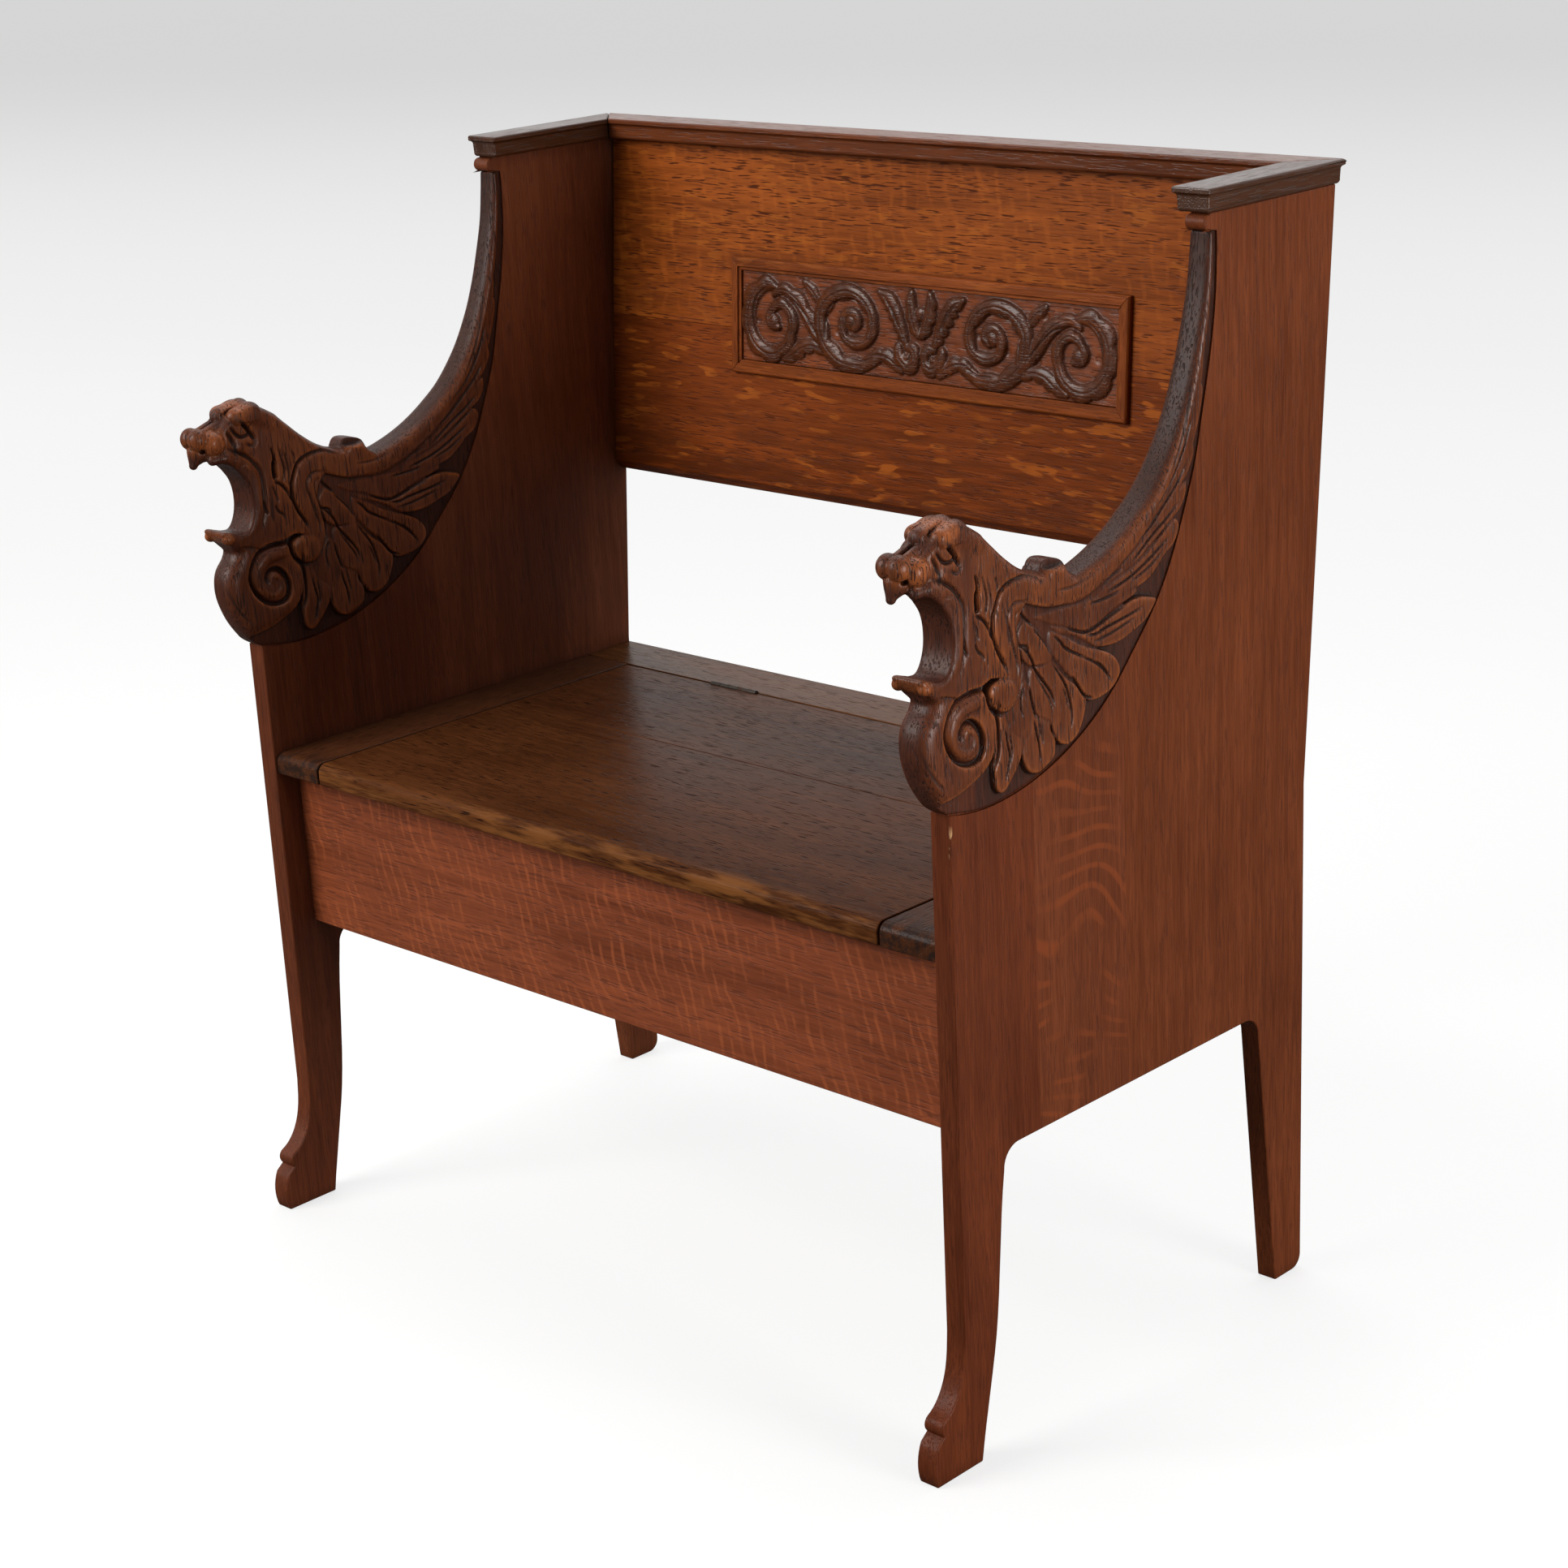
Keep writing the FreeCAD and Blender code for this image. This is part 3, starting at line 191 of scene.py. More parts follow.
def oak(name, changes, carved=False):
    look = {**plainOak, **changes}
    material, tree = newTree(name)
    grain, tone = look["grain"], srgb(look["tone"])
    real = Wire(tree, node(tree, "ShaderNodeTexCoord").outputs["Object"])
    spot = node(tree, "ShaderNodeSeparateXYZ", {}, {"Vector": real}).outputs
    place = vectors(tree, "ADD", real, look["offset"])
    # slow waves bend the grain a little
    sway = vectors(tree, "MULTIPLY", noise(tree, place, 4.0, 1.0, output="Color"), (0.03, 0.03, 0.03))
    bent = vectors(tree, "ADD", place, sway)

    def drawn(source, layer):
        width, stretch, detail, rough = grainLayers[layer]
        shape = [1.0, 1.0, 1.0]
        shape[grain] = 1.0 / stretch
        return noise(tree, vectors(tree, "MULTIPLY", source, tuple(shape)), 1.0 / width, detail, rough)

    bands = drawn(bent, "bands")
    rings = drawn(bent, "rings")
    fibres = drawn(place, "fibres")
    patches = noise(tree, place, 5.0, 3.0)
    share = ((bands - 0.5) * look["bands"] + (rings - 0.5) * look["rings"] + (fibres - 0.5) * look["fibres"]
             + (patches - 0.5) * look["patches"] + 0.5).clamped()
    colour = mixed(tree, share, tinted(tone, shades["dark"]), tinted(tone, shades["light"]))
    if carved:
        # hollow is where shade is painted, worn is where the stain has worn off
        hollow = Wire(tree, node(tree, "ShaderNodeAttribute", {"attribute_name": "hollow"}).outputs["Fac"])
        worn = Wire(tree, node(tree, "ShaderNodeAttribute", {"attribute_name": "worn"}).outputs["Fac"])
        rubbed = (worn * (noise(tree, place, 45.0, 3.0) * 1.3 + 0.1)).clamped()
        bare = srgb(look["worn"])
        bare = mixed(tree, share, tinted(bare, shades["bare dark"]), tinted(bare, shades["bare light"]))
        colour = mixed(tree, rubbed * look["bare"], colour, bare)
    if look["ripple"]:
        # light crossing stripes, about 9 mm apart
        along = vectors(tree, "DOT_PRODUCT", bent, look["rippleWay"])
        crossing = (along + noise(tree, place, 16.0, 2.0) * 14.0).wave().above(0.3, 1.0)
        crossing = crossing * noise(tree, place, 40.0, 2.0, 0.6).above(0.36, 0.66)
        colour = mixed(tree, crossing * look["ripple"], colour, tinted(tone, shades["ripple"]))
    if look["horns"]:
        # wide curved rays, as a quarter sawn board shows them
        across = vectors(tree, "DOT_PRODUCT", bent, (0.0, 110.0, 250.0))
        curve = (across + noise(tree, place, 7.0, 1.0) * 44.0).wave().above(0.3, 0.95)
        curve = curve * noise(tree, place, 12.0, 2.0).above(0.46, 0.62)
        colour = mixed(tree, curve * look["horns"], colour, tinted(tone, shades["horns"]))
    if look["flecks"]:
        small = drawn(bent, "flecks").above(0.585, 0.645)
        small = small * noise(tree, place, 14.0, 2.0).above(0.4, 0.56)
        colour = mixed(tree, small * look["flecks"], colour, tinted(tone, shades["flecks"]))
    pits = drawn(place, "pores").above(0.54, 0.66) * rings.above(0.34, 0.56)
    colour = mixed(tree, pits * look["pores"], colour, tinted(tone, shades["pores"]))
    if look["wear"]:
        axis, start, stop, worn, most = look["wear"]
        rubbed = (Wire(tree, spot[axis]) + (patches - 0.5) * 0.05).above(min(start, stop), max(start, stop))
        rubbed = 1.0 - rubbed if stop < start else rubbed
        rubbed = rubbed * drawn(place, "rubs").above(0.4, 0.62)
        colour = mixed(tree, rubbed * most, colour, srgb(worn))
    if look["chips"]:
        edgeX, edgeY, low, high, fresh = look["chips"]
        level = Wire(tree, spot[2])
        offX = (Wire(tree, spot[0]) - edgeX).size()
        offY = (Wire(tree, spot[1]) - edgeY).size()
        chipped = 1.0 - offX.math("MAXIMUM", offX, offY).above(0.0015, 0.003)
        chipped = chipped * level.above(low, low + 0.01) * (1.0 - level.above(high - 0.01, high))
        upright = vectors(tree, "MULTIPLY", place, (1.0, 1.0, 0.35))
        flaked = noise(tree, upright, 160.0, 2.0).above(0.56, 0.6)
        colour = mixed(tree, chipped * flaked, colour, srgb(fresh))
    rough = look["rough"] + (patches - 0.5) * 0.2 + pits * 0.2
    height = fibres * 0.3 - pits
    if carved:
        # shade painted into the carving's hollows, along its edges and over its rounded outline, in the
        # dark colour
        colour = mixed(tree, (hollow * look["hollowShade"]).clamped(), colour, srgb(look["dark"]))
        rough = rough + hollow * 0.2 - worn * 0.05
    # ambient occlusion paints shade into inner corners
    shade = node(tree, "ShaderNodeAmbientOcclusion", {"samples": 6}, {"Distance": look["cornerReach"]})
    corner = 1.0 - Wire(tree, shade.outputs["AO"])
    colour = mixed(tree, (corner * look["corners"]).clamped(), colour, tinted(tone, shades["corners"]))
    bump = node(tree, "ShaderNodeBump", {}, {
        "Height": height, "Distance": 0.0004, "Strength": look["relief"]})
    finished(tree, node(tree, "ShaderNodeBsdfPrincipled", {}, {
        "Base Color": colour, "Roughness": rough.clamped(), "Normal": bump.outputs[0],
        "Specular IOR Level": look["shine"]}))
    return material


def steel(name, tone, rough):
    material, tree = newTree(name)
    place = Wire(tree, node(tree, "ShaderNodeTexCoord").outputs["Object"])
    rust = noise(tree, place, 160.0, 4.0, 0.6).above(0.45, 0.7)
    bump = node(tree, "ShaderNodeBump", {}, {"Height": rust, "Distance": 0.0002, "Strength": 0.4})
    finished(tree, node(tree, "ShaderNodeBsdfPrincipled", {}, {
        "Base Color": mixed(tree, rust * 0.7, tone, srgb("4a2a1a")), "Metallic": 1.0 - rust * 0.6,
        "Roughness": (rust * 0.35 + rough).clamped(), "Normal": bump.outputs[0]}))
    return material


# carved wood gets shade painted into its hollows and along its edges in the dark colour, and shade painted
# into its inner corners
carvedLook = {"tone": "4c2414", "bands": 0.5, "rings": 1.2, "fibres": 1.3, "pores": 0.9, "worn": "925028",
              "bare": 0.9, "dark": "100805", "hollowShade": 1.0, "rough": 0.38, "shine": 0.26, "relief": 1.0,
              "corners": 1.1, "cornerReach": 0.006}
looks = {
    "left_front_oak": {"offset": (0.0, 0.3, 0.1), "tone": "633019"},
    "left_middle_oak": {"offset": (0.4, 1.3, 0.5), "tone": "602f19"},
    "left_rear_oak": {"offset": (0.9, 0.1, 1.7), "tone": "69361e"},
    "right_front_oak": {"offset": (2.0, 0.3, 0.9), "tone": "5f2d18", "shine": 0.12, "bands": 0.6,
                       "chips": (0.4415, -0.2367, 0.49, 0.57, "b48a62")},
    "right_middle_oak": {"offset": (2.6, 1.9, 0.2), "tone": "65331d", "shine": 0.12, "horns": 0.7,
                         "rings": 0.8},
    "right_rear_oak": {"offset": (3.1, 0.6, 0.4), "tone": "66331b", "shine": 0.12, "bands": 0.6,
                       "rings": 0.9},
    "apron_oak": {"grain": 0, "offset": (0.3, 0.1, 0.2), "tone": "824227", "ripple": 0.5, "pores": 0.5,
                  "bands": 0.9, "rings": 0.9, "fibres": 0.8},
    "back_upper_oak": {"grain": 0, "offset": (0.7, 0.4, 0.9), "tone": "8a4517", "shine": 0.1, "bands": 0.9,
                       "rings": 1.1, "flecks": 0.4, "pores": 1.0, "ripple": 0.3,
                       "rippleWay": (330.0, 0.0, 60.0), "wear": (2, 0.93, 0.80, "74381a", 0.5)},
    "back_lower_oak": {"grain": 0, "offset": (1.9, 0.2, 0.1), "tone": "783813", "shine": 0.1, "bands": 0.7,
                       "flecks": 1.0, "pores": 0.7, "wear": (2, 0.78, 0.68, "4c2410", 0.6)},
    "frame_oak": {"grain": 0, "offset": (1.7, 0.2, 0.3), "tone": "7c3e1a", "shine": 0.1, "rings": 1.1,
                  "flecks": 0.4},
    "frame_end_oak": {"offset": (1.1, 0.5, 0.6), "tone": "7c3e1a", "shine": 0.1, "rings": 1.1,
                      "flecks": 0.3},
    "seat_oak": {"grain": 0, "offset": (2.3, 0.9, 0.1), "tone": "4b2914", "pores": 1.0, "bands": 1.0,
                 "rings": 1.1, "patches": 1.2, "rough": 0.3, "shine": 0.04,
                 "wear": (1, -0.216, -0.244, "8a562c", 0.7)},
    "rail_oak": {"grain": 0, "offset": (0.3, 2.9, 0.1), "tone": "5a3519", "pores": 0.8, "rough": 0.3,
                 "shine": 0.08},
    "strip_oak": {"grain": 1, "offset": (2.9, 0.3, 0.5), "tone": "482816", "pores": 0.8, "rough": 0.3,
                  "shine": 0.1, "wear": (1, -0.19, -0.235, "2a1a14", 1.0)},
    "cap_oak": {"grain": 1, "offset": (0.2, 1.9, 0.4), "tone": "442615", "rough": 0.3, "shine": 0.6},
    "back_cap_oak": {"grain": 0, "offset": (0.9, 1.2, 0.8), "tone": "66341a", "rough": 0.3, "shine": 0.35},
    "inner_wood": {"grain": 0, "tone": "a88a62", "pores": 0.3, "rough": 0.6},
    "dowel_wood": {"grain": 0, "tone": "b08f60", "pores": 0.2, "rough": 0.6},
}
finishes = {name: oak(name, look) for name, look in looks.items()}
carvedOak = oak("carved_oak", {**carvedLook, "offset": (0.4, 0.7, 1.1)}, carved=True)
panelOak = oak("panel_oak", {**carvedLook, "grain": 0, "offset": (1.4, 0.8, 0.2), "tone": "7c3f20",
                             "worn": "4e2916", "bare": 1.3, "rough": 0.32, "shine": 0.32}, carved=True)
hingeSteel = steel("hinge_steel", (0.09, 0.075, 0.065), 0.5)
screwSteel = steel("screw_steel", (0.42, 0.4, 0.38), 0.36)
print("materials made")

# the boards in view; every other part is inner wood, a dowel or steel
boards = {
    # body, softened edge in millimetres, finish, slot
    "front_apron": ("bench_frame", 0.8, "apron_oak", "side_oak"),
    "seat_rear_rail": ("bench_frame", 0.8, "rail_oak", "seat_oak"),
    "seat_left_strip": ("bench_frame", 0.9, "strip_oak", "seat_oak"),
    "seat_right_strip": ("bench_frame", 0.9, "strip_oak", "seat_oak"),
    "lid_front_board": ("seat_lid", 0.9, "seat_oak", "seat_oak"),
    "lid_rear_board": ("seat_lid", 0.9, "seat_oak", "seat_oak"),
    "back_upper_board": ("bench_frame", 0.7, "back_upper_oak", "back_oak"),
    "back_lower_board": ("bench_frame", 0.7, "back_lower_oak", "back_oak"),
    "panel_frame_top": ("bench_frame", 0.6, "frame_oak", "back_oak"),
    "panel_frame_bottom": ("bench_frame", 0.6, "frame_oak", "back_oak"),
    "panel_frame_left": ("bench_frame", 0.6, "frame_end_oak", "back_oak"),
    "panel_frame_right": ("bench_frame", 0.6, "frame_end_oak", "back_oak"),
    "left_cap": ("bench_frame", 0.9, "cap_oak", "cap_oak"),
    "right_cap": ("bench_frame", 0.9, "cap_oak", "cap_oak"),
    "back_cap": ("bench_frame", 0.9, "back_cap_oak", "cap_oak"),
}
for side in ("left", "right"):
    for board in ("front", "middle", "rear"):
        boards[f"{side}_{board}_board"] = ("bench_frame", 1.2, f"{side}_{board}_oak", "side_oak")
for name, part in cadNodes.items():
    finish = finishes["inner_wood"]
    if name in boards:
        finish = finishes[boards[name][2]]
    elif "screw" in name:
        finish = screwSteel
    elif "hinge" in name:
        finish = hingeSteel
    elif "dowel" in name:
        finish = finishes["dowel_wood"]
    part.data.materials.clear()
    part.data.materials.append(finish)

# boards with softened edges stand for the sharp CAD ones

headCut = 0.66  # above this the arm's own mesh fills the front boards
glueJoints = (backEdge - 0.373, backEdge - 0.256)
carvedFoot, carvedTop = 0.570, 0.974
carvedRear = backEdge - 0.120
crease = math.radians(35.0)  # edges that turn more than this are softened


def eased(name, point):
    # the sides stay sharp at their glue joints and where the carving is let in
    if not name.endswith("_board") or name.startswith(("lid", "back")):
        return True
    if min(abs(point.y - joint) for joint in glueJoints) < 0.4 * mm:
        return False
    return point.z < carvedFoot or point.z > carvedTop or point.y > carvedRear


def softened(name, body, width, finish, slot):
    shape = bmesh.new()
    shape.from_mesh(cadNodes[name].data)
    bmesh.ops.remove_doubles(shape, verts=shape.verts, dist=1e-6)
    bmesh.ops.dissolve_limit(shape, angle_limit=math.radians(1.0), verts=shape.verts, edges=shape.edges)
    if name.endswith("_front_board") and not name.startswith("lid"):
        cut = bmesh.ops.bisect_plane(shape, geom=shape.verts[:] + shape.edges[:] + shape.faces[:],
                                     plane_co=(0, 0, headCut), plane_no=(0, 0, 1), clear_outer=True)
        rim = [edge for edge in cut["geom_cut"] if isinstance(edge, bmesh.types.BMEdge)]
        bmesh.ops.holes_fill(shape, edges=rim, sides=0)
        bmesh.ops.recalc_face_normals(shape, faces=shape.faces)
    weights = shape.edges.layers.float.new("bevel_weight_edge")
    for edge in shape.edges:
        turn = edge.calc_face_angle(0.0) if len(edge.link_faces) == 2 else 0.0
        if turn > crease and eased(name, (edge.verts[0].co + edge.verts[1].co) / 2):
            edge[weights] = 1.0
        edge.smooth = turn < crease
    for face in shape.faces:
        face.smooth = True
    mesh = bpy.data.meshes.new(name + "_soft")
    shape.to_mesh(mesh)
    shape.free()
    mesh.materials.append(finishes[finish])
    piece = bpy.data.objects.new(name + "_soft", mesh)
    scene.collection.objects.link(piece)
    bevel = piece.modifiers.new("edges", "BEVEL")
    bevel.width = width * mm
    bevel.segments = 2
    bevel.limit_method = "WEIGHT"
    bevel.use_clamp_overlap = False
    piece.modifiers.new("normals", "WEIGHTED_NORMAL").keep_sharp = True
    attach(piece, body)
    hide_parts(name)


for name, row in boards.items():
    softened(name, *row)
print("boards made")


# carving tools

def throughPoints(ends, spacing):
    # a smooth curve from the second point to the last but one, sampled about every spacing
    out = []
    for place in range(len(ends) - 3):
        before, start, stop, after = ends[place:place + 4]
        count = max(2, int(np.linalg.norm(stop - start) / spacing) + 1)
        share = np.linspace(0, 1, count, endpoint=False)[:, None]
        out.append(0.5 * (2 * start + (stop - before) * share
                          + (2 * before - 5 * start + 4 * stop - after) * share ** 2
                          + (3 * start - before - 3 * stop + after) * share ** 3))
    return np.vstack([*out, ends[-2]])


def smoothLine(points, spacing):
    points = np.array(points, float)
    ends = np.vstack([2 * points[0] - points[1], points, 2 * points[-1] - points[-2]])
    return throughPoints(ends, spacing)


def smoothRing(points, spacing):
    points = np.array(points, float)
    return throughPoints(np.vstack([points[-1], points, points[:2]]), spacing)[:-1]


def blurred(field, times):
    for step in range(times):
        field = (np.roll(field, 1, 0) + 2 * field + np.roll(field, -1, 0)) / 4
        field = (np.roll(field, 1, 1) + 2 * field + np.roll(field, -1, 1)) / 4
    return field


def arc(share):
    # a quarter round from 0 to 1
    return np.sqrt(np.clip(1 - (1 - np.clip(share, 0, 1)) ** 2, 0, 1))


def smoothMax(first, second, reach):
    return np.maximum(first, second) + np.maximum(reach - np.abs(first - second), 0) ** 2 / (4 * reach)


def smoothMin(first, second, reach):
    return -smoothMax(-first, -second, reach)


class Relief:
    # a height over a flat grid, carved stroke by stroke, in millimetres; a runs along the side or
    # the panel and b runs up
    def __init__(self, low, high, step, ground):
        self.low = low
        self.step = step
        self.a = np.arange(low[0], high[0] + step / 2, step)
        self.b = np.arange(low[1], high[1] + step / 2, step)
        self.gridA, self.gridB = np.meshgrid(self.a, self.b, indexing="ij")
        self.height = np.full(self.gridA.shape, float(ground))
        # thin dark lines of painted shade along raised edges and cuts
        self.edgeShade = np.zeros(self.gridA.shape)

    def window(self, line, reach):
        first = np.maximum(((line.min(0) - reach - self.low) / self.step).astype(int), 0)
        last = np.maximum(((line.max(0) + reach - self.low) / self.step).astype(int) + 2, 0)
        return slice(first[0], last[0]), slice(first[1], last[1])

    def apart(self, line, part):
        # distance to a line of points, the side, and how far along it each cell lies
        gridA, gridB = self.gridA[part], self.gridB[part]
        best = np.full(gridA.shape, 1e9)
        side = np.zeros(gridA.shape)
        along = np.zeros(gridA.shape)
        steps = np.hypot(*np.diff(line, axis=0).T)
        run = np.concatenate([[0], np.cumsum(steps)])
        for place, (start, step) in enumerate(zip(line, np.diff(line, axis=0))):
            share = ((gridA - start[0]) * step[0] + (gridB - start[1]) * step[1]) / max(step @ step, 1e-9)
            share = np.clip(share, 0, 1)
            offA, offB = gridA - start[0] - share * step[0], gridB - start[1] - share * step[1]
            gap = offA ** 2 + offB ** 2
            closer = gap < best
            best = np.where(closer, gap, best)
            side = np.where(closer, np.sign(offA * step[1] - offB * step[0]), side)
            along = np.where(closer, (run[place] + share * steps[place]) / run[-1], along)
        return np.sqrt(best), side, along

    def depth(self, ring, part):
        # how far inside a closed outline each cell lies, negative outside
        gridA, gridB = self.gridA[part], self.gridB[part]
        closed = np.vstack([ring, ring[:1]])
        inside = np.zeros(gridA.shape, bool)
        for start, stop in zip(closed[:-1], closed[1:]):
            if start[1] != stop[1]:
                crosses = (gridB >= min(start[1], stop[1])) & (gridB < max(start[1], stop[1]))
                offset = (gridB - start[1]) * (stop[0] - start[0]) / (stop[1] - start[1])
                inside ^= crosses & (gridA < start[0] + offset)
        return self.apart(closed, part)[0] * np.where(inside, 1, -1)

    def raised(self, part, value, cover):
        # lay a form over what is there; its edge is softened over one cell, and a thin line of shade is
        # painted where it stands over lower wood
        here = self.height[part]
        rise = np.maximum(here, value) - here
        self.height[part] = here + rise * np.clip(cover, 0, 1)
        inside = cover * self.step  # how far in from the form's edge
        self.edgeShade[part] *= 1 - np.clip(cover, 0, 1) * np.clip(rise, 0, 1)
        border = 0.8 * np.exp(-(inside / 1.1) ** 2) * np.clip(rise / 1.5, 0, 1)
        self.edgeShade[part] = np.maximum(self.edgeShade[part], border)

    def spread(self, values, along):
        return np.interp(along, np.linspace(0, 1, len(values)), values)

    def blade(self, outline, heights, root, tip, camber, reach):
        # a leaf, band or mass with its own outline, whose edges fall away over reach
        ring = smoothRing(outline, 2.0)
        part = self.window(ring, 2.0)
        depth = self.depth(ring, part)
        root, way = np.array(root, float), np.array(tip, float) - np.array(root, float)
        offA, offB = self.gridA[part] - root[0], self.gridB[part] - root[1]
        along = np.clip((offA * way[0] + offB * way[1]) / (way @ way), 0, 1)
        value = self.spread(heights, along) - camber * (1 - arc(depth / reach))
        self.raised(part, value, depth / self.step + 0.5)

    def ridge(self, points, widths, crests, base, power=0.5, lobes=0, edge=1):
        # a rounded bead of wood, with leaf lobes along one edge if asked; the higher wood shows
        line = smoothLine(points, 1.5)
        part = self.window(line, max(widths) + 2)
        apart, side, along = self.apart(line, part)
        width, crest = self.spread(widths, along), self.spread(crests, along)
        if lobes:
            scallop = 0.8 + 0.4 * np.abs(np.sin(np.pi * lobes * along))
            width = width * np.where(side == edge, scallop, 1.0)
        value = base + (crest - base) * np.clip(1 - (apart / width) ** 2, 0, 1) ** power
        self.raised(part, value, (width - apart) / self.step + 0.5)

    def groove(self, points, widths, depths, fade=7.0):
        # a cut; widths are given for its two sides
        line = smoothLine(points, 1.5)
        part = self.window(line, max(widths) * 3)
        apart, side, along = self.apart(line, part)
        ends = np.clip(np.minimum(along, 1 - along) * fade + 0.15, 0, 1)
        width = np.where(side > 0, widths[0], widths[1])
        cut = self.spread(depths, along) * ends
        self.height[part] -= cut * np.exp(-(apart / width) ** 2)
        # a thin line of painted shade runs along the cut
        self.edgeShade[part] = np.maximum(self.edgeShade[part], np.clip(cut / 2.2, 0, 1) * np.exp(-(apart / 0.9) ** 2))

    def dome(self, centre, radii, crest, base, power=0.5):
        share = ((self.gridA - centre[0]) / radii[0]) ** 2 + ((self.gridB - centre[1]) / radii[1]) ** 2
        value = base + (crest - base) * np.clip(1 - share, 0, 1) ** power
        self.height = np.where(share < 1, np.maximum(self.height, value), self.height)

    def hollow(self, centre, radii, depth):
        share = ((self.gridA - centre[0]) / radii[0]) ** 2 + ((self.gridB - centre[1]) / radii[1]) ** 2
        self.height -= depth * np.exp(-share * 1.5)

    def spotted(self, centre, radii):
        # 1 in a round spot, falling off steeply at its edge
        share = np.hypot((self.gridA - centre[0]) / radii[0], (self.gridB - centre[1]) / radii[1])
        return np.exp(-share ** 4)

    def sampled(self, field, a, b):
        fa = np.clip((a - self.low[0]) / self.step, 0, len(self.a) - 1.001)
        fb = np.clip((b - self.low[1]) / self.step, 0, len(self.b) - 1.001)
        ia, ib = fa.astype(int), fb.astype(int)
        ra, rb = fa - ia, fb - ib
        return ((field[ia, ib] * (1 - ra) + field[ia + 1, ib] * ra) * (1 - rb)
                + (field[ia, ib + 1] * (1 - ra) + field[ia + 1, ib + 1] * ra) * rb)


def paint(mesh, name, values):
    attribute = mesh.attributes.new(name, "FLOAT", "POINT")
    attribute.data.foreach_set("value", np.asarray(values, np.float32))


# the winged lion arms: points run from the side's rear edge, negative to the front, and up from the
# floor, and heights run out from the middle of the side, all in millimetres
armShape = {
    "step": 0.95,
    "low": (-530.0, 566.0), "high": (-122.0, 980.0),
    # the arm's middle out from the bench's, and half the width that is meshed
    "place": 431.5, "half": 19.6,
    # heights of the ground, the feathers' bed, and the lowest and highest wood
    "ground": 8.45, "bed": 12.2, "lowest": 8.4, "highest": 18.3,
    # above this level the head thins towards the nose: from where, at what height, and how fast
    "nose level": 752.0, "nose from": -492.0, "nose height": 16.8, "nose slope": 0.75,
    # along the sweep the carving stands just proud of the boards' own edge
    "proud": 1.2, "sweep from": -330.0,
    # share of each blade's reach that is rounded, and how much deeper the neck's cuts go than listed
    "blade edge": 0.75, "neck cuts": 1.35,
    # how far the face rounds over to the outline
    "rounding": 11.0,
    # ahead of the neck's end: level and rounding above the mouth's foot, above the crown's foot
    # and under the scroll's top
    "neck end": -440.0, "mouth": (676.0, 4.0), "crown": (792.0, 9.0), "scroll": (672.0, 17.0),
}
armOutline = {
    "scroll": [(-474, 577.5), (-486, 586.5), (-498, 603.5), (-506, 624), (-507.5, 640), (-504, 654),
               (-495, 665)],
    "lip": [(-495, 665), (-492.5, 671), (-496, 678), (-502, 684), (-507, 691), (-504.5, 694), (-497, 692),
            (-489, 689.5)],
    "mouth": [(-489, 689.5), (-480, 689.5), (-474, 696), (-470, 708), (-469.6, 722), (-473, 735),
              (-480.5, 746)],
    "arch": [(-480.5, 746), (-488, 753), (-497, 758), (-505, 760)],
    "muzzle": [(-505, 760), (-511, 763), (-514, 770), (-511, 779), (-503, 785), (-494, 790)],
    "brow": [(-494, 790), (-487, 797), (-478, 802), (-468, 805), (-458, 804.5), (-447, 800.5), (-431, 792),
             (-418, 781), (-403, 768), (-386, 756), (-369, 748), (-357, 745)],
    "curl": [(-357, 745), (-354.5, 750.5), (-349, 753.5), (-338, 752), (-329, 748), (-324.4, 740),
             (-316, 733.5)],
    "sweep": [(-316, 733.5), (-302, 736.4), (-281, 743), (-259, 752.5), (-236, 766), (-213, 783),
              (-190, 810), (-173, 839), (-160, 869), (-150, 900), (-142, 930), (-137.6, 960), (-136, 976)],
    "rim": [(-127.8, 976), (-128.4, 930), (-132.4, 898), (-140, 862), (-148, 830), (-157, 795), (-170, 762),
            (-186, 727), (-209, 690), (-239, 657), (-268, 629), (-312, 600), (-352, 583.5), (-400, 573),
            (-437, 571.5), (-473.4, 577.5)],
}
feathersBed = [(-412, 650), (-400, 640), (-384, 628), (-362, 625), (-345, 622), (-325, 640), (-303, 652),
               (-292, 668), (-262, 690), (-252, 708), (-228, 726), (-212, 744), (-206, 768), (-260, 752),
               (-300, 746), (-372, 745), (-404, 745), (-412, 700)]
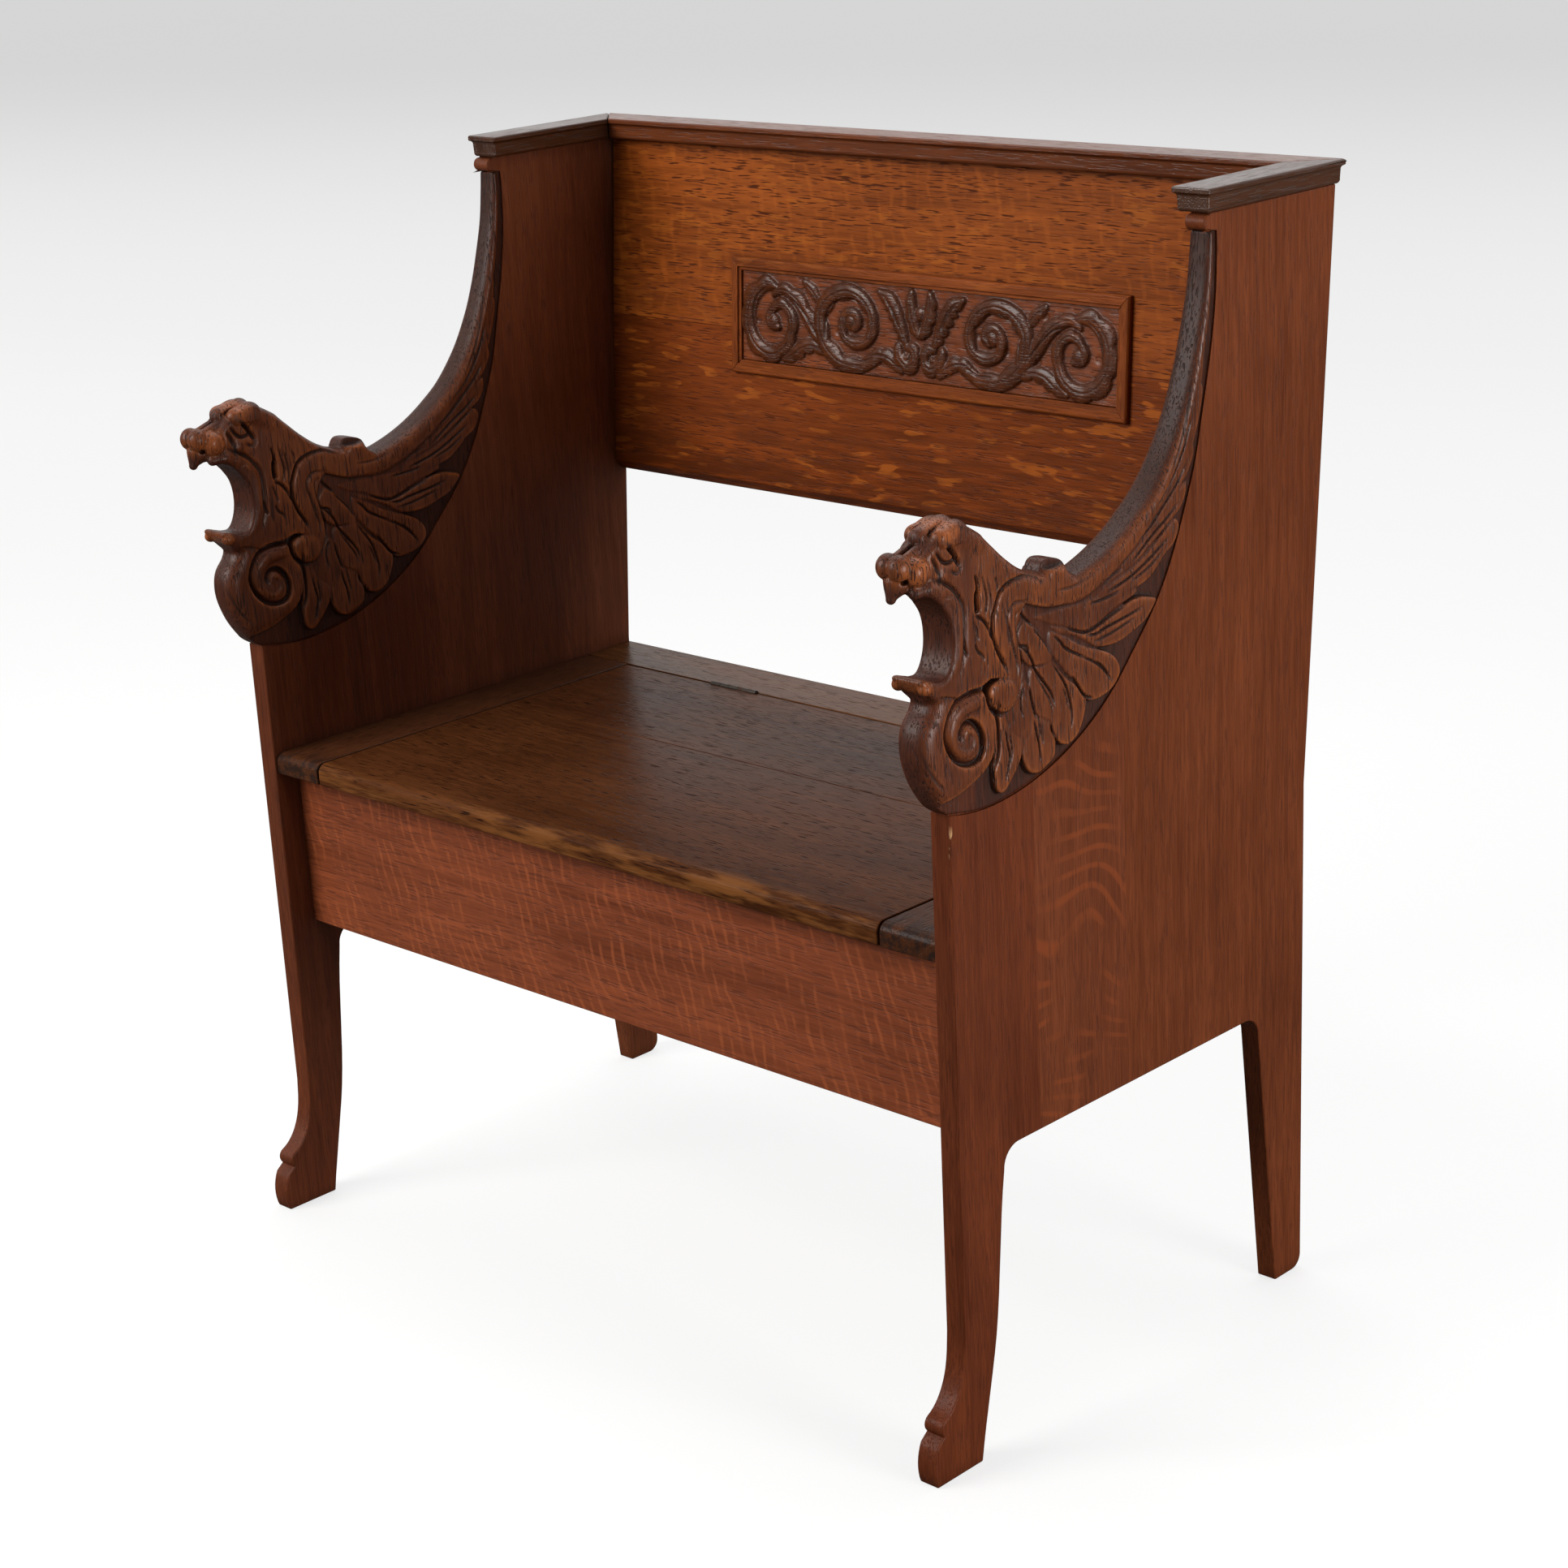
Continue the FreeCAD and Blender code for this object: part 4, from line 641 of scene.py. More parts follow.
blades = [
    # outline, heights from root to tip, root, tip, camber, reach of the rounded edge
    # upper feathers, from the rear down
    ([(-214, 790), (-196, 796), (-180, 826), (-168, 860), (-159, 892), (-150, 925), (-146, 900),
      (-150, 866), (-157, 836), (-168, 806), (-184, 782), (-204, 768)], (12.5, 13.5, 12.0), (-210, 776),
     (-150, 925), 1.6, 4),
    ([(-262, 744), (-232, 757), (-208, 778), (-186, 806), (-170, 834), (-158, 858), (-150, 852),
      (-156, 828), (-167, 804), (-182, 786), (-198, 770), (-220, 753), (-242, 742)], (12, 13.6, 13.4),
     (-255, 742), (-154, 850), 1.8, 4),
    ([(-285, 728), (-248, 741), (-222, 756), (-200, 774), (-182, 794), (-168, 812), (-163, 803),
      (-171, 788), (-180, 779), (-189, 768), (-205, 757), (-228, 744), (-256, 730)], (12, 13.4, 13.6),
     (-280, 727), (-166, 806), 1.6, 4),
    ([(-300, 719), (-262, 730), (-232, 744), (-207, 760), (-188, 774), (-175, 782), (-175, 770),
      (-182, 760), (-191, 754), (-204, 747), (-222, 737), (-247, 725), (-280, 717)], (12, 13.4, 13.8),
     (-295, 718), (-178, 772), 1.6, 4),
    ([(-310, 709), (-280, 717), (-247, 725), (-224, 735), (-205, 746), (-190, 754), (-184, 745),
      (-191, 733), (-203, 726), (-213, 718), (-226, 710), (-246, 706), (-280, 706), (-301, 707)],
     (12, 13.4, 14.2), (-305, 709), (-188, 745), 1.8, 4.5),
    ([(-370, 712), (-352, 713), (-328, 712), (-301, 711), (-280, 709), (-263, 711), (-243, 710),
      (-240, 703), (-251, 699), (-268, 696), (-286, 690), (-303, 686), (-319, 689), (-335, 696),
      (-352, 702)], (13, 13.2, 13.0), (-365, 708), (-243, 705), 1.5, 4),
    ([(-350, 701), (-330, 695), (-310, 687), (-295, 687), (-277, 692), (-261, 696), (-245, 699),
      (-231, 698), (-214, 692), (-221, 684), (-231, 677), (-246, 672), (-260, 668), (-276, 667),
      (-295, 670), (-309, 679), (-325, 687), (-342, 692)], (13.2, 14.0, 14.4), (-345, 697),
     (-218, 688), 1.7, 4.5),
    # the broad lower leaves
    ([(-352, 697), (-334, 689), (-317, 679), (-302, 672), (-286, 666), (-272, 658), (-265, 648),
      (-266, 639), (-273, 632), (-286, 628), (-300, 627), (-311, 632), (-319, 641), (-327, 652),
      (-335, 660), (-343, 669), (-352, 681)], (13.4, 14.4, 15.0), (-348, 690), (-272, 640), 1.8, 5),
    ([(-376, 672), (-363, 672), (-350, 673), (-341, 663), (-331, 653), (-317, 643), (-309, 632),
      (-311, 620), (-318, 607), (-326, 600), (-335, 599), (-344, 603), (-351, 613), (-355, 623),
      (-366, 629), (-373, 635), (-377, 647), (-379, 661)], (13.6, 14.6, 15.2), (-368, 668),
     (-326, 604), 1.8, 5),
    ([(-378, 660), (-374, 646), (-372, 634), (-355, 626), (-353, 616), (-348, 607), (-350, 594),
      (-360, 587), (-368, 584), (-381, 588), (-388, 598), (-390, 608), (-388, 617), (-380, 622),
      (-380, 638), (-382, 654)], (13.4, 14.2, 15.0), (-378, 650), (-366, 588), 1.8, 5),
    ([(-394, 654), (-384, 664), (-377, 659), (-375, 647), (-372, 635), (-374, 624), (-381, 614),
      (-388, 615), (-393, 620), (-401, 627), (-405, 636), (-408, 643), (-404, 650)], (13.0, 13.6, 13.8),
     (-388, 658), (-384, 618), 1.5, 4),
    ([(-418, 648), (-408, 646), (-403, 634), (-397, 626), (-388, 618), (-389, 608), (-393, 599),
      (-402, 589), (-411, 581), (-418, 581), (-423, 588), (-424, 600), (-423, 614), (-421, 632)],
     (13.4, 14.4, 14.6), (-412, 640), (-414, 584), 1.8, 5),
    # small leaf between the band and the long leaves
    ([(-384, 712), (-376, 708), (-366, 700), (-357, 689), (-349, 676), (-352, 670), (-364, 672),
      (-376, 674), (-385, 680), (-392, 692), (-392, 704)], (14.0, 14.4, 13.6), (-386, 708),
     (-354, 672), 1.4, 4),
    # the shoulder that runs into the top roll
    ([(-400, 728), (-385, 727), (-372, 722), (-352, 716), (-328, 715), (-302, 720), (-280, 727),
      (-258, 737), (-238, 749), (-216, 767), (-198, 788), (-214, 782), (-240, 770), (-268, 758),
      (-300, 750), (-340, 746), (-372, 748), (-400, 748)], (15.6, 15.4, 14.6, 14.0), (-400, 738),
     (-205, 780), 2.2, 6),
]
veins = [
    # line, depth, half width
    ([(-409, 632), (-407, 619), (-405, 608), (-408, 597), (-412, 588)], 1.9, 0.9),
    ([(-404, 626), (-402, 613), (-404, 602)], 1.3, 0.8),
    ([(-384, 660), (-388, 653), (-389, 645), (-387, 634)], 1.5, 0.9),
    ([(-378, 657), (-376, 646), (-373, 636), (-371, 631)], 1.6, 1.0),
    ([(-374, 630), (-372, 620), (-369, 609), (-368, 593)], 1.9, 0.9),
    ([(-368, 630), (-366, 619), (-364, 606)], 1.3, 0.8),
    ([(-390, 695), (-382, 688), (-376, 680), (-370, 669), (-363, 660), (-355, 650), (-351, 643),
      (-349, 633)], 2.2, 1.1),
    ([(-372, 668), (-360, 650), (-354, 640), (-352, 630)], 1.3, 0.8),
    ([(-350, 671), (-343, 661), (-336, 651), (-332, 642), (-329, 631), (-328, 621), (-330, 610)], 1.9, 1.0),
    ([(-338, 647), (-334, 638), (-331, 628)], 1.2, 0.8),
    ([(-347, 692), (-339, 685), (-334, 679), (-324, 673), (-309, 665)], 2.0, 1.0),
    ([(-312, 666), (-300, 660), (-290, 653), (-282, 645), (-276, 637)], 1.7, 0.9),
    ([(-296, 659), (-286, 651), (-280, 643)], 1.2, 0.8),
    ([(-326, 654), (-319, 644), (-311, 634), (-300, 629)], 2.6, 1.2),
    ([(-307, 683), (-295, 681), (-284, 683), (-267, 685), (-251, 687), (-233, 690)], 1.9, 1.0),
    ([(-297, 675), (-277, 677), (-260, 680), (-244, 683)], 1.4, 0.9),
    ([(-332, 695), (-319, 689), (-307, 685), (-295, 686), (-277, 691), (-255, 696)], 2.0, 1.0),
    ([(-301, 707), (-280, 707), (-262, 709)], 1.4, 0.9),
    ([(-278, 711), (-263, 714), (-247, 718), (-231, 724), (-214, 732), (-198, 740)], 1.8, 1.0),
    ([(-246, 714), (-226, 720), (-208, 729)], 1.3, 0.8),
    ([(-247, 728), (-232, 738), (-217, 747), (-200, 756), (-185, 766)], 1.8, 1.0),
    ([(-240, 744), (-222, 753), (-205, 766), (-186, 782), (-174, 796)], 1.7, 0.9),
    ([(-218, 766), (-198, 782), (-180, 804), (-166, 832)], 1.6, 0.9),
    ([(-196, 790), (-180, 816), (-166, 850), (-158, 880)], 1.4, 0.9),
    ([(-284, 717), (-273, 723), (-258, 727)], 1.2, 0.8),
    ([(-373, 704), (-365, 696), (-357, 687), (-351, 678)], 1.6, 0.9),
    ([(-386, 719), (-378, 711), (-373, 706)], 1.8, 1.0),
    ([(-390, 694), (-381, 691), (-379, 685)], 1.8, 1.0),
    ([(-380, 735), (-384, 724), (-384, 712)], 1.2, 0.9),
    ([(-345, 728), (-322, 727), (-300, 731)], 0.9, 1.2),
]
band = {
    # the curved band that ends in a ball under the neck
    "outline": [(-366, 744), (-381, 749.5), (-395, 750), (-407, 748), (-415, 743), (-420, 734), (-424, 723),
                (-424, 712), (-420, 699), (-413, 686), (-409, 675), (-408, 660), (-402, 652), (-392, 656),
                (-388, 668), (-389, 682), (-391, 696), (-392, 712), (-386, 722), (-374, 731)],
    "heights": (15.4, 16.2, 16.4, 16.2), "root": (-380, 745), "tip": (-402, 660), "camber": 2.6, "reach": 8,
    "front": [(-363, 741), (-379, 748), (-395, 749), (-407, 747), (-415, 742), (-420, 733), (-424, 723),
              (-424, 712), (-420, 699), (-413, 687), (-409, 680)],
    "inner": [[(-378, 728), (-386, 729), (-396, 730), (-404, 725), (-406, 718), (-403, 709), (-401, 700),
               (-398, 690), (-395, 680), (-396, 668)],
              [(-388, 724), (-395, 721), (-396, 712), (-393, 700), (-389, 688), (-387, 673), (-391, 659)]],
    "ball": [(-427, 671), (-430, 665), (-427, 656), (-419, 648.5), (-408, 645.5), (-399, 650), (-395, 659),
             (-399, 669), (-408, 673), (-418, 674)],
}
neck = {
    "outline": [(-500, 800), (-480, 815), (-430, 800), (-386, 762), (-362, 752), (-366, 742), (-381, 747),
                (-407, 745), (-418, 735), (-422, 722), (-422, 712), (-418, 699), (-411, 686), (-407, 672),
                (-425, 676), (-441, 672), (-462, 670), (-480, 675), (-500, 680), (-520, 700), (-520, 770)],
    "height": 16.6,
    "cuts": [
        # line, widths on both sides, depths
        ([(-443, 763), (-441, 755), (-441, 747)], (1.0, 1.3), (1.2, 3.0, 5.0)),
        ([(-440.5, 750), (-441.5, 742), (-441, 732)], (1.9, 2.3), (6.5, 7.5, 6.0)),
        ([(-435, 762), (-432, 751), (-430, 742), (-431, 734), (-433, 729)], (0.9, 1.2),
         (0.8, 1.5, 1.8, 1.2)),
        ([(-429, 758), (-426, 745), (-425, 734), (-427, 722)], (0.9, 1.2), (0.8, 1.4, 1.4, 0.8)),
        ([(-420, 756), (-417, 749), (-418, 742)], (0.9, 1.0), (0.8, 1.2, 1.0)),
        ([(-443, 730), (-437, 727), (-432, 722), (-428, 716), (-425, 708)], (1.0, 1.5),
         (2.0, 2.8, 2.6, 1.6)),
        ([(-446, 727), (-443, 719), (-441, 710)], (0.9, 1.1), (0.8, 1.6, 1.0)),
        ([(-457, 714), (-456, 707), (-454, 701)], (0.8, 1.1), (1.4, 1.9, 1.2)),
        ([(-445, 709), (-442, 702), (-437, 698), (-435, 693)], (0.8, 1.1), (1.4, 1.9, 1.2)),
        # the crease between the cheek and the mouth's rim
        ([(-494, 771), (-481, 765), (-470, 758), (-462, 749), (-457.5, 741), (-456.5, 729), (-457, 714),
          (-459, 700), (-465, 688)], (1.3, 2.6), (1.6, 2.6, 2.4, 2.0, 1.6, 1.2, 0.8)),
        # under the brow, around the eye and behind the whiskers
        ([(-487, 801.5), (-480, 797), (-474, 792), (-468.5, 786), (-463, 778), (-459.5, 772)], (1.7, 2.3),
         (2.6, 4.6, 5.2, 5.0, 2.6)),
        ([(-486, 790), (-481, 782.5), (-475, 778.5), (-468, 779), (-464, 783)], (1.3, 1.5),
         (2.0, 2.8, 2.6, 1.6)),
        ([(-491, 787), (-487, 779), (-484, 771), (-484, 762)], (1.6, 2.4), (1.8, 3.0, 2.6, 1.6)),
        ([(-472, 772), (-463, 768), (-458, 772)], (1.1, 1.6), (0.8, 1.5, 0.8)),
    ],
    "rim": [(-508, 757.5), (-500, 758.5), (-493, 758), (-482, 755), (-472.5, 750), (-465.6, 742),
            (-463, 732), (-462.6, 718), (-464, 705), (-469.5, 694.5), (-478, 687.5), (-490, 684.5)],
    "rim widths": (3.6, 4.4, 4.6, 4.6, 4.4, 4.2),
    "rim crests": (17.4, 17.6, 17.8, 17.8, 17.6, 17.2),
}
volute = {
    "outline": [(-530, 640), (-515, 672), (-498, 684), (-480, 676), (-462, 673), (-446, 674), (-434, 672),
                (-428, 661), (-422, 646), (-420, 632), (-423, 618), (-431, 607), (-446, 599), (-465, 593),
                (-482, 590), (-500, 584), (-530, 588)],
    "bowl": (-457, 641), "bowl radii": (24, 25), "bowl depth": 2.2,
    "coil": [(-429, 656), (-438, 660), (-449, 661), (-460, 659.5), (-468.5, 653), (-472.5, 643),
             (-471, 633), (-464, 626), (-454, 623.5), (-447, 627), (-446, 634), (-449.5, 640), (-455, 641),
             (-457, 637)],
    "coil widths": (5, 6, 7, 7.5, 7.5, 7.5, 7, 6.5, 6, 5.5, 5, 5, 4.5, 4.2),
    "coil crests": (15.6, 16.4, 17.0, 17.2, 17.2, 17.0, 16.8, 16.6, 16.2, 16.0, 15.8, 15.6, 15.4, 15.2),
    "spiral": [(-427, 670), (-442, 671.7), (-458, 671.6), (-471.5, 666.3), (-480, 655), (-482.6, 642.2),
               (-477, 628.5), (-465.5, 617.8), (-452, 614), (-441, 617.4), (-436.8, 628.8), (-439.6, 640),
               (-448, 648.1), (-458, 648.6), (-463.5, 642), (-462.3, 634.9)],
    "depths": (3.0, 6.0, 5.5, 5.5, 6.5, 7.5, 8.0, 7.5, 5.5, 4.5, 5.0, 5.5, 6.0, 6.0, 6.0, 5.0),
}


def carveArm():
    relief = Relief(armShape["low"], armShape["high"], armShape["step"], armShape["ground"])
    relief.blade(feathersBed, (armShape["bed"],), (0, 0), (1, 0), 1.0, 3.0)
    # the top roll follows the sweep and thins out towards the cap
    relief.ridge([(-352, 728), (-318, 724), (-290, 731), (-264, 742), (-238, 757), (-214, 778), (-193, 803),
                  (-176, 832), (-163, 862), (-153, 892), (-146, 920), (-141, 948), (-139, 978)],
                 (12, 13, 13, 13, 13, 13, 12, 11, 10, 9, 8, 7, 6),
                 (15.6, 16, 16.2, 16.2, 16.2, 16, 15.6, 15.2, 14.8, 14.4, 13.8, 13.2, 12.6), 9.5, 0.42)
    for *row, reach in blades:
        relief.blade(*row, reach * armShape["blade edge"])
    for line, depth, width in veins:
        # deepest along the middle, and a little steeper on one side
        relief.groove(line, (width * 0.85, width * 0.95), (depth, depth * 1.5, depth * 1.5, depth * 0.8))
    # neck, scroll, and the band with its ball
    relief.blade(neck["outline"], (neck["height"],), (0, 0), (1, 0), 1.0, 6.0)
    relief.blade(volute["outline"], (16.4, 16.8, 16.4), (-470, 680), (-460, 580), 3.4, 12.0)
    relief.height -= volute["bowl depth"] * relief.spotted(volute["bowl"], volute["bowl radii"])
    relief.ridge(volute["coil"], volute["coil widths"], volute["coil crests"], 11.0, 0.5)
    relief.blade(band["outline"], band["heights"], band["root"], band["tip"], band["camber"], band["reach"])
    for line in band["inner"]:
        relief.groove(line, (1.0, 1.5), (1.0, 1.8, 2.0, 1.6))
    relief.groove(band["front"], (1.0, 2.2), (1.5, 3.0, 4.6, 5.6, 5.6, 5.0, 4.0), 20.0)
    relief.blade(band["ball"], (17.8,), (0, 0), (1, 0), 3.6, 8.0)
    relief.groove([(-428, 676), (-432, 666), (-429, 655), (-421, 646.5), (-410, 642.5)], (1.0, 1.6),
                  (4.0, 6.0, 6.0, 4.0, 1.5))
    relief.groove(volute["spiral"], (1.2, 3.6), volute["depths"], 30.0)
    relief.groove([(-494, 673), (-504, 664), (-507, 651), (-505, 634), (-497, 616), (-484, 600)],
                  (1.0, 1.4), (1.2, 2.0, 2.0, 2.0, 1.2))
    relief.groove([(-421, 660), (-417, 640), (-418, 615), (-425, 600)], (1.4, 1.4), (2.0, 4.0, 4.0, 2.0))
    relief.ridge(neck["rim"], neck["rim widths"], neck["rim crests"], 14.0, 0.5)
    for line, widths, depths in neck["cuts"]:
        relief.groove(line, widths, np.array(depths) * armShape["neck cuts"])
    # eyeball and lids
    relief.ridge([(-484, 790.5), (-477, 787), (-469, 782)], (3.0, 4.4, 2.6), (16.0, 17.6, 16.0), 12.5, 0.5)
    # the nose and lips narrow towards the front, where rounded lumps take over
    ahead = np.minimum(relief.gridA - armShape["nose from"], 0)
    narrow = armShape["nose height"] + ahead * armShape["nose slope"]
    nose = relief.gridB > armShape["nose level"]
    relief.height = np.where(nose, np.minimum(relief.height, narrow), relief.height)
    relief.height = np.clip(relief.height, armShape["lowest"], armShape["highest"])
    ring = np.vstack([smoothLine(points, 2.0)[:-1] for points in armOutline.values()])
    proud = armShape["proud"] * np.clip((relief.gridA - armShape["sweep from"]) / 20, 0, 1)
    core = -relief.depth(ring, (slice(None), slice(None))) - proud
    rounding = np.full(core.shape, armShape["rounding"])
    head = relief.gridA < armShape["neck end"]
    for part in ("mouth", "crown"):
        level, reach = armShape[part]
        rounding = np.where(head & (relief.gridB > level), reach, rounding)
    level, reach = armShape["scroll"]
    rounding = blurred(np.where(head & (relief.gridB < level), reach, rounding), 12)
    # steps in the relief die out where the edge rounds over
    inner = np.clip((-core - 2.0) / 7.0, 0, 1)
    settled = relief.height * inner + blurred(relief.height, 30) * (1 - inner)
    relief.height = np.where(relief.height > 9.6, settled, relief.height)
    return relief, core, np.minimum(np.clip((relief.height - 7.4) * 1.6, 1.2, 18.0), rounding)


def ball(grid, centre, radii):
    share = sum(((axis - middle) / radius) ** 2 for axis, middle, radius in zip(grid, centre, radii))
    return (np.sqrt(share) - 1) * min(radii)


def rod(grid, start, stop, first, last):
    start, stop = np.array(start, float), np.array(stop, float)
    step = stop - start
    share = sum((axis - begin) * run for axis, begin, run in zip(grid, start, step)) / (step @ step)
    share = np.clip(share, 0, 1)
    apart = np.sqrt(sum((axis - begin - share * run) ** 2 for axis, begin, run in zip(grid, start, step)))
    return apart - (first + (last - first) * share)


# lumps of the face, mirrored across the arm's middle: place out from the middle, along and up, then
# sizes, then how softly they blend
faceBalls = {
    "nose": ((5.6, -516.0, 782.0), (9.0, 9.8, 10.4), 0.8),
    "whisker pads": ((10.0, -503.0, 776.9), (10.2, 12.3, 11.7), 0.8),
    "cheeks": ((11.5, -478.0, 770.0), (6.6, 10.0, 7.0), 3.0),
    "lower teeth": ((13.2, -500.5, 686.4), (5.2, 6.4, 5.4), 0.8),
}
faceRods = {
    "beak": ((0.0, -515.5, 769.0), (0.0, -520.2, 758.6), (9.0, 4.0), 1.0),
    "beak root": ((0.0, -498.0, 769.0), (0.0, -513.0, 768.0), (7.0, 8.6), 3.0),
    "lips": ((12.0, -507.0, 762.0), (13.6, -494.0, 762.5), (4.6, 4.8), 3.0),
    "rear lips": ((13.6, -494.0, 762.0), (13.4, -481.0, 757.0), (4.8, 4.4), 3.0),
    "bridge": ((4.6, -508.0, 788.0), (4.6, -488.0, 793.0), (3.0, 4.2), 2.0),
    "forehead": ((0.0, -485.0, 797.6), (0.0, -462.0, 801.4), (9.0, 9.8), 0.3),
    "brows": ((12.2, -477.0, 797.0), (11.0, -458.0, 798.4), (8.4, 9.2), 0.5),
    "temples": ((11.0, -462.0, 798.4), (9.0, -438.0, 785.0), (9.0, 7.6), 5.0),
}
# cuts have a negative blend
nostrils = ((8.6, -514.4, 772.2), (3.0, 3.4, 2.8), -1.0)
browCuts = ((8.4, -493.0, 797.0), (7.6, -462.0, 812.0), (1.5, 1.3), -0.8)
# where hands have worn the stain off: middle and radii
handledSpots = {
    "nose": ((-509, 779), (20, 13)),
    "brows": ((-474, 803), (14, 9)),
    "lower teeth": ((-502, 687), (8, 7)),
}


def armField():
    step, half = armShape["step"], armShape["half"]
    relief, core, rounding = carveArm()
    x = np.arange(-half, half + step / 2, step)
    field = np.empty((len(x), *core.shape), np.float32)
    for place, across in enumerate(x):
        field[place] = smoothMax(abs(across) - relief.height, core, rounding)
    lumps = [(ball, centre, radii, blend) for centre, radii, blend in faceBalls.values()]
    lumps += [(rod, start, (stop, *sizes), blend) for start, stop, sizes, blend in faceRods.values()]
    lumps.append((ball, *nostrils))
    lumps.append((rod, browCuts[0], (browCuts[1], *browCuts[2]), browCuts[3]))
    for shape, first, rest, blend in lumps:
        # each lump only needs its own small block of the field
        margin = 16.0
        spots = np.array([first, rest[0]]) if shape is rod else np.array([first])
        low = ((spots[:, 1:].min(0) - margin - relief.low) / step).astype(int)
        high = ((spots[:, 1:].max(0) + margin - relief.low) / step).astype(int)
        part = slice(max(low[0], 0), high[0]), slice(max(low[1], 0), high[1])
        grid = np.abs(x)[:, None, None], relief.gridA[part][None], relief.gridB[part][None]
        lump = shape(grid, first, *rest) if shape is rod else shape(grid, first, rest)
        block = (slice(None), *part)
        if blend > 0:
            field[block] = smoothMin(field[block], lump, blend)
        else:
            field[block] = smoothMax(field[block], -lump, -blend)
    return relief, core, x, field


def meshed(relief, x, field, step):
    far = 3.0  # beyond this the field only has to say inside or outside
    volume = vdb.FloatGrid()
    volume.background = far
    volume.copyFromArray(np.ascontiguousarray(np.clip(field, -far, far), np.float32))
    points, quads = volume.convertToQuads(0.0)
    start = np.array([x[0], *relief.low])
    return start + np.asarray(points, float) * step, np.asarray(quads)


def contrast(relief, reach, depth):
    # what lies lower and higher than the wood around it
    wide = blurred(relief.height, reach)
    return np.clip((wide - relief.height) / depth, 0, 1), np.clip((relief.height - wide) / depth, 0, 1)


armShadeAndWear = {
    # how wide a patch is compared with its surroundings, and the step in height that counts as full
    "reach": 8.0, "contrast": 1.1,
    # painted shade in the hollows, and darker ground below this height
    "hollows": 0.7, "ground": 0.45, "ground top": 9.4,
    # bare wood on what stands out, on wood above this height, and the head's share of that
    "proud": 0.6, "high": 0.4, "high from": 12.0, "high over": 3.0, "head": 0.4,
    # the edge that rounds over to the outline gets one tone of painted shade, most along the sweep
    "edge": 0.2, "edge width": 4.0, "sweep": 0.35, "sweep from": -340.0, "sweep over": 40.0,
}
relief, core, armX, field = armField()
points, quads = meshed(relief, armX, field, armShape["step"])
hollow, worn = contrast(relief, int(round(armShadeAndWear["reach"] / armShape["step"] ** 2)), armShadeAndWear["contrast"])
behindNeck = relief.gridA > armShape["neck end"]
# hollow holds painted shade in hollows, along edges and cuts and over the rounded outline, and a darker
# ground below a height; worn holds bare wood
hollow = np.maximum(hollow * armShadeAndWear["hollows"], relief.edgeShade)
ground = armShadeAndWear["ground"] * np.clip(armShadeAndWear["ground top"] - relief.height, 0, 1)
hollow = np.maximum(hollow, ground * behindNeck)
high = armShadeAndWear["high"] * np.clip((relief.height - armShadeAndWear["high from"]) / armShadeAndWear["high over"], 0, 1)
worn = worn * armShadeAndWear["proud"] + high * np.where(behindNeck, 1.0, armShadeAndWear["head"])
inner = np.clip(-core / armShadeAndWear["edge width"], 0, 1)
sweep = np.clip((relief.gridA - armShadeAndWear["sweep from"]) / armShadeAndWear["sweep over"], 0, 1)
hollow = hollow * inner + (armShadeAndWear["edge"] + armShadeAndWear["sweep"] * sweep) * (1 - inner)
worn = worn * inner
for centre, radii in handledSpots.values():
    rubbed = relief.spotted(centre, radii)
    hollow, worn = hollow * (1 - rubbed), np.maximum(worn, rubbed)
marks = {"hollow": relief.sampled(hollow, points[:, 1], points[:, 2]),
         "worn": relief.sampled(worn, points[:, 1], points[:, 2])}
for side, sign in (("left", -1), ("right", 1)):
    place = (points + (sign * armShape["place"], 0, 0)) * mm + (0, backEdge, 0)
    mesh = bpy.data.meshes.new(f"{side}_arm_carving")
    mesh.from_pydata(place.tolist(), [], quads[:, ::-1].tolist())
    mesh.polygons.foreach_set("use_smooth", [True] * len(mesh.polygons))
    for name, values in marks.items():
        paint(mesh, name, values)
    mesh.materials.append(carvedOak)
    arm = bpy.data.objects.new(f"{side}_arm_carving", mesh)
    scene.collection.objects.link(arm)
    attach(arm, "bench_frame")
    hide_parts(f"{side}_outer_carving", f"{side}_inner_carving")
print("arms made", len(quads), "faces each")

# the carved panel, measured along the slope of the back
panelShape = {
    # the back leans by run over rise from the start level up
    "rise": 515.0, "run": 38.4, "start": 475.0,
    "middle": 828.0, "half width": 233.2, "half height": 43.2,
    # the board's thickness under the carving, then heights over its face
    "board": 16.0, "ground": 1.7, "lowest": 0.9, "highest": 5.9,
    "step": 0.85,
    # how much broader than their lines say the stems are
    "spread": 1.3,
}
lean = math.atan2(panelShape["run"], panelShape["rise"])
panelMiddle = (panelShape["middle"] - panelShape["start"]) / math.cos(lean)
panelCorner = (panelShape["half width"], panelShape["half height"])
panel = Relief((-panelCorner[0], -panelCorner[1]), panelCorner, panelShape["step"], panelShape["ground"])
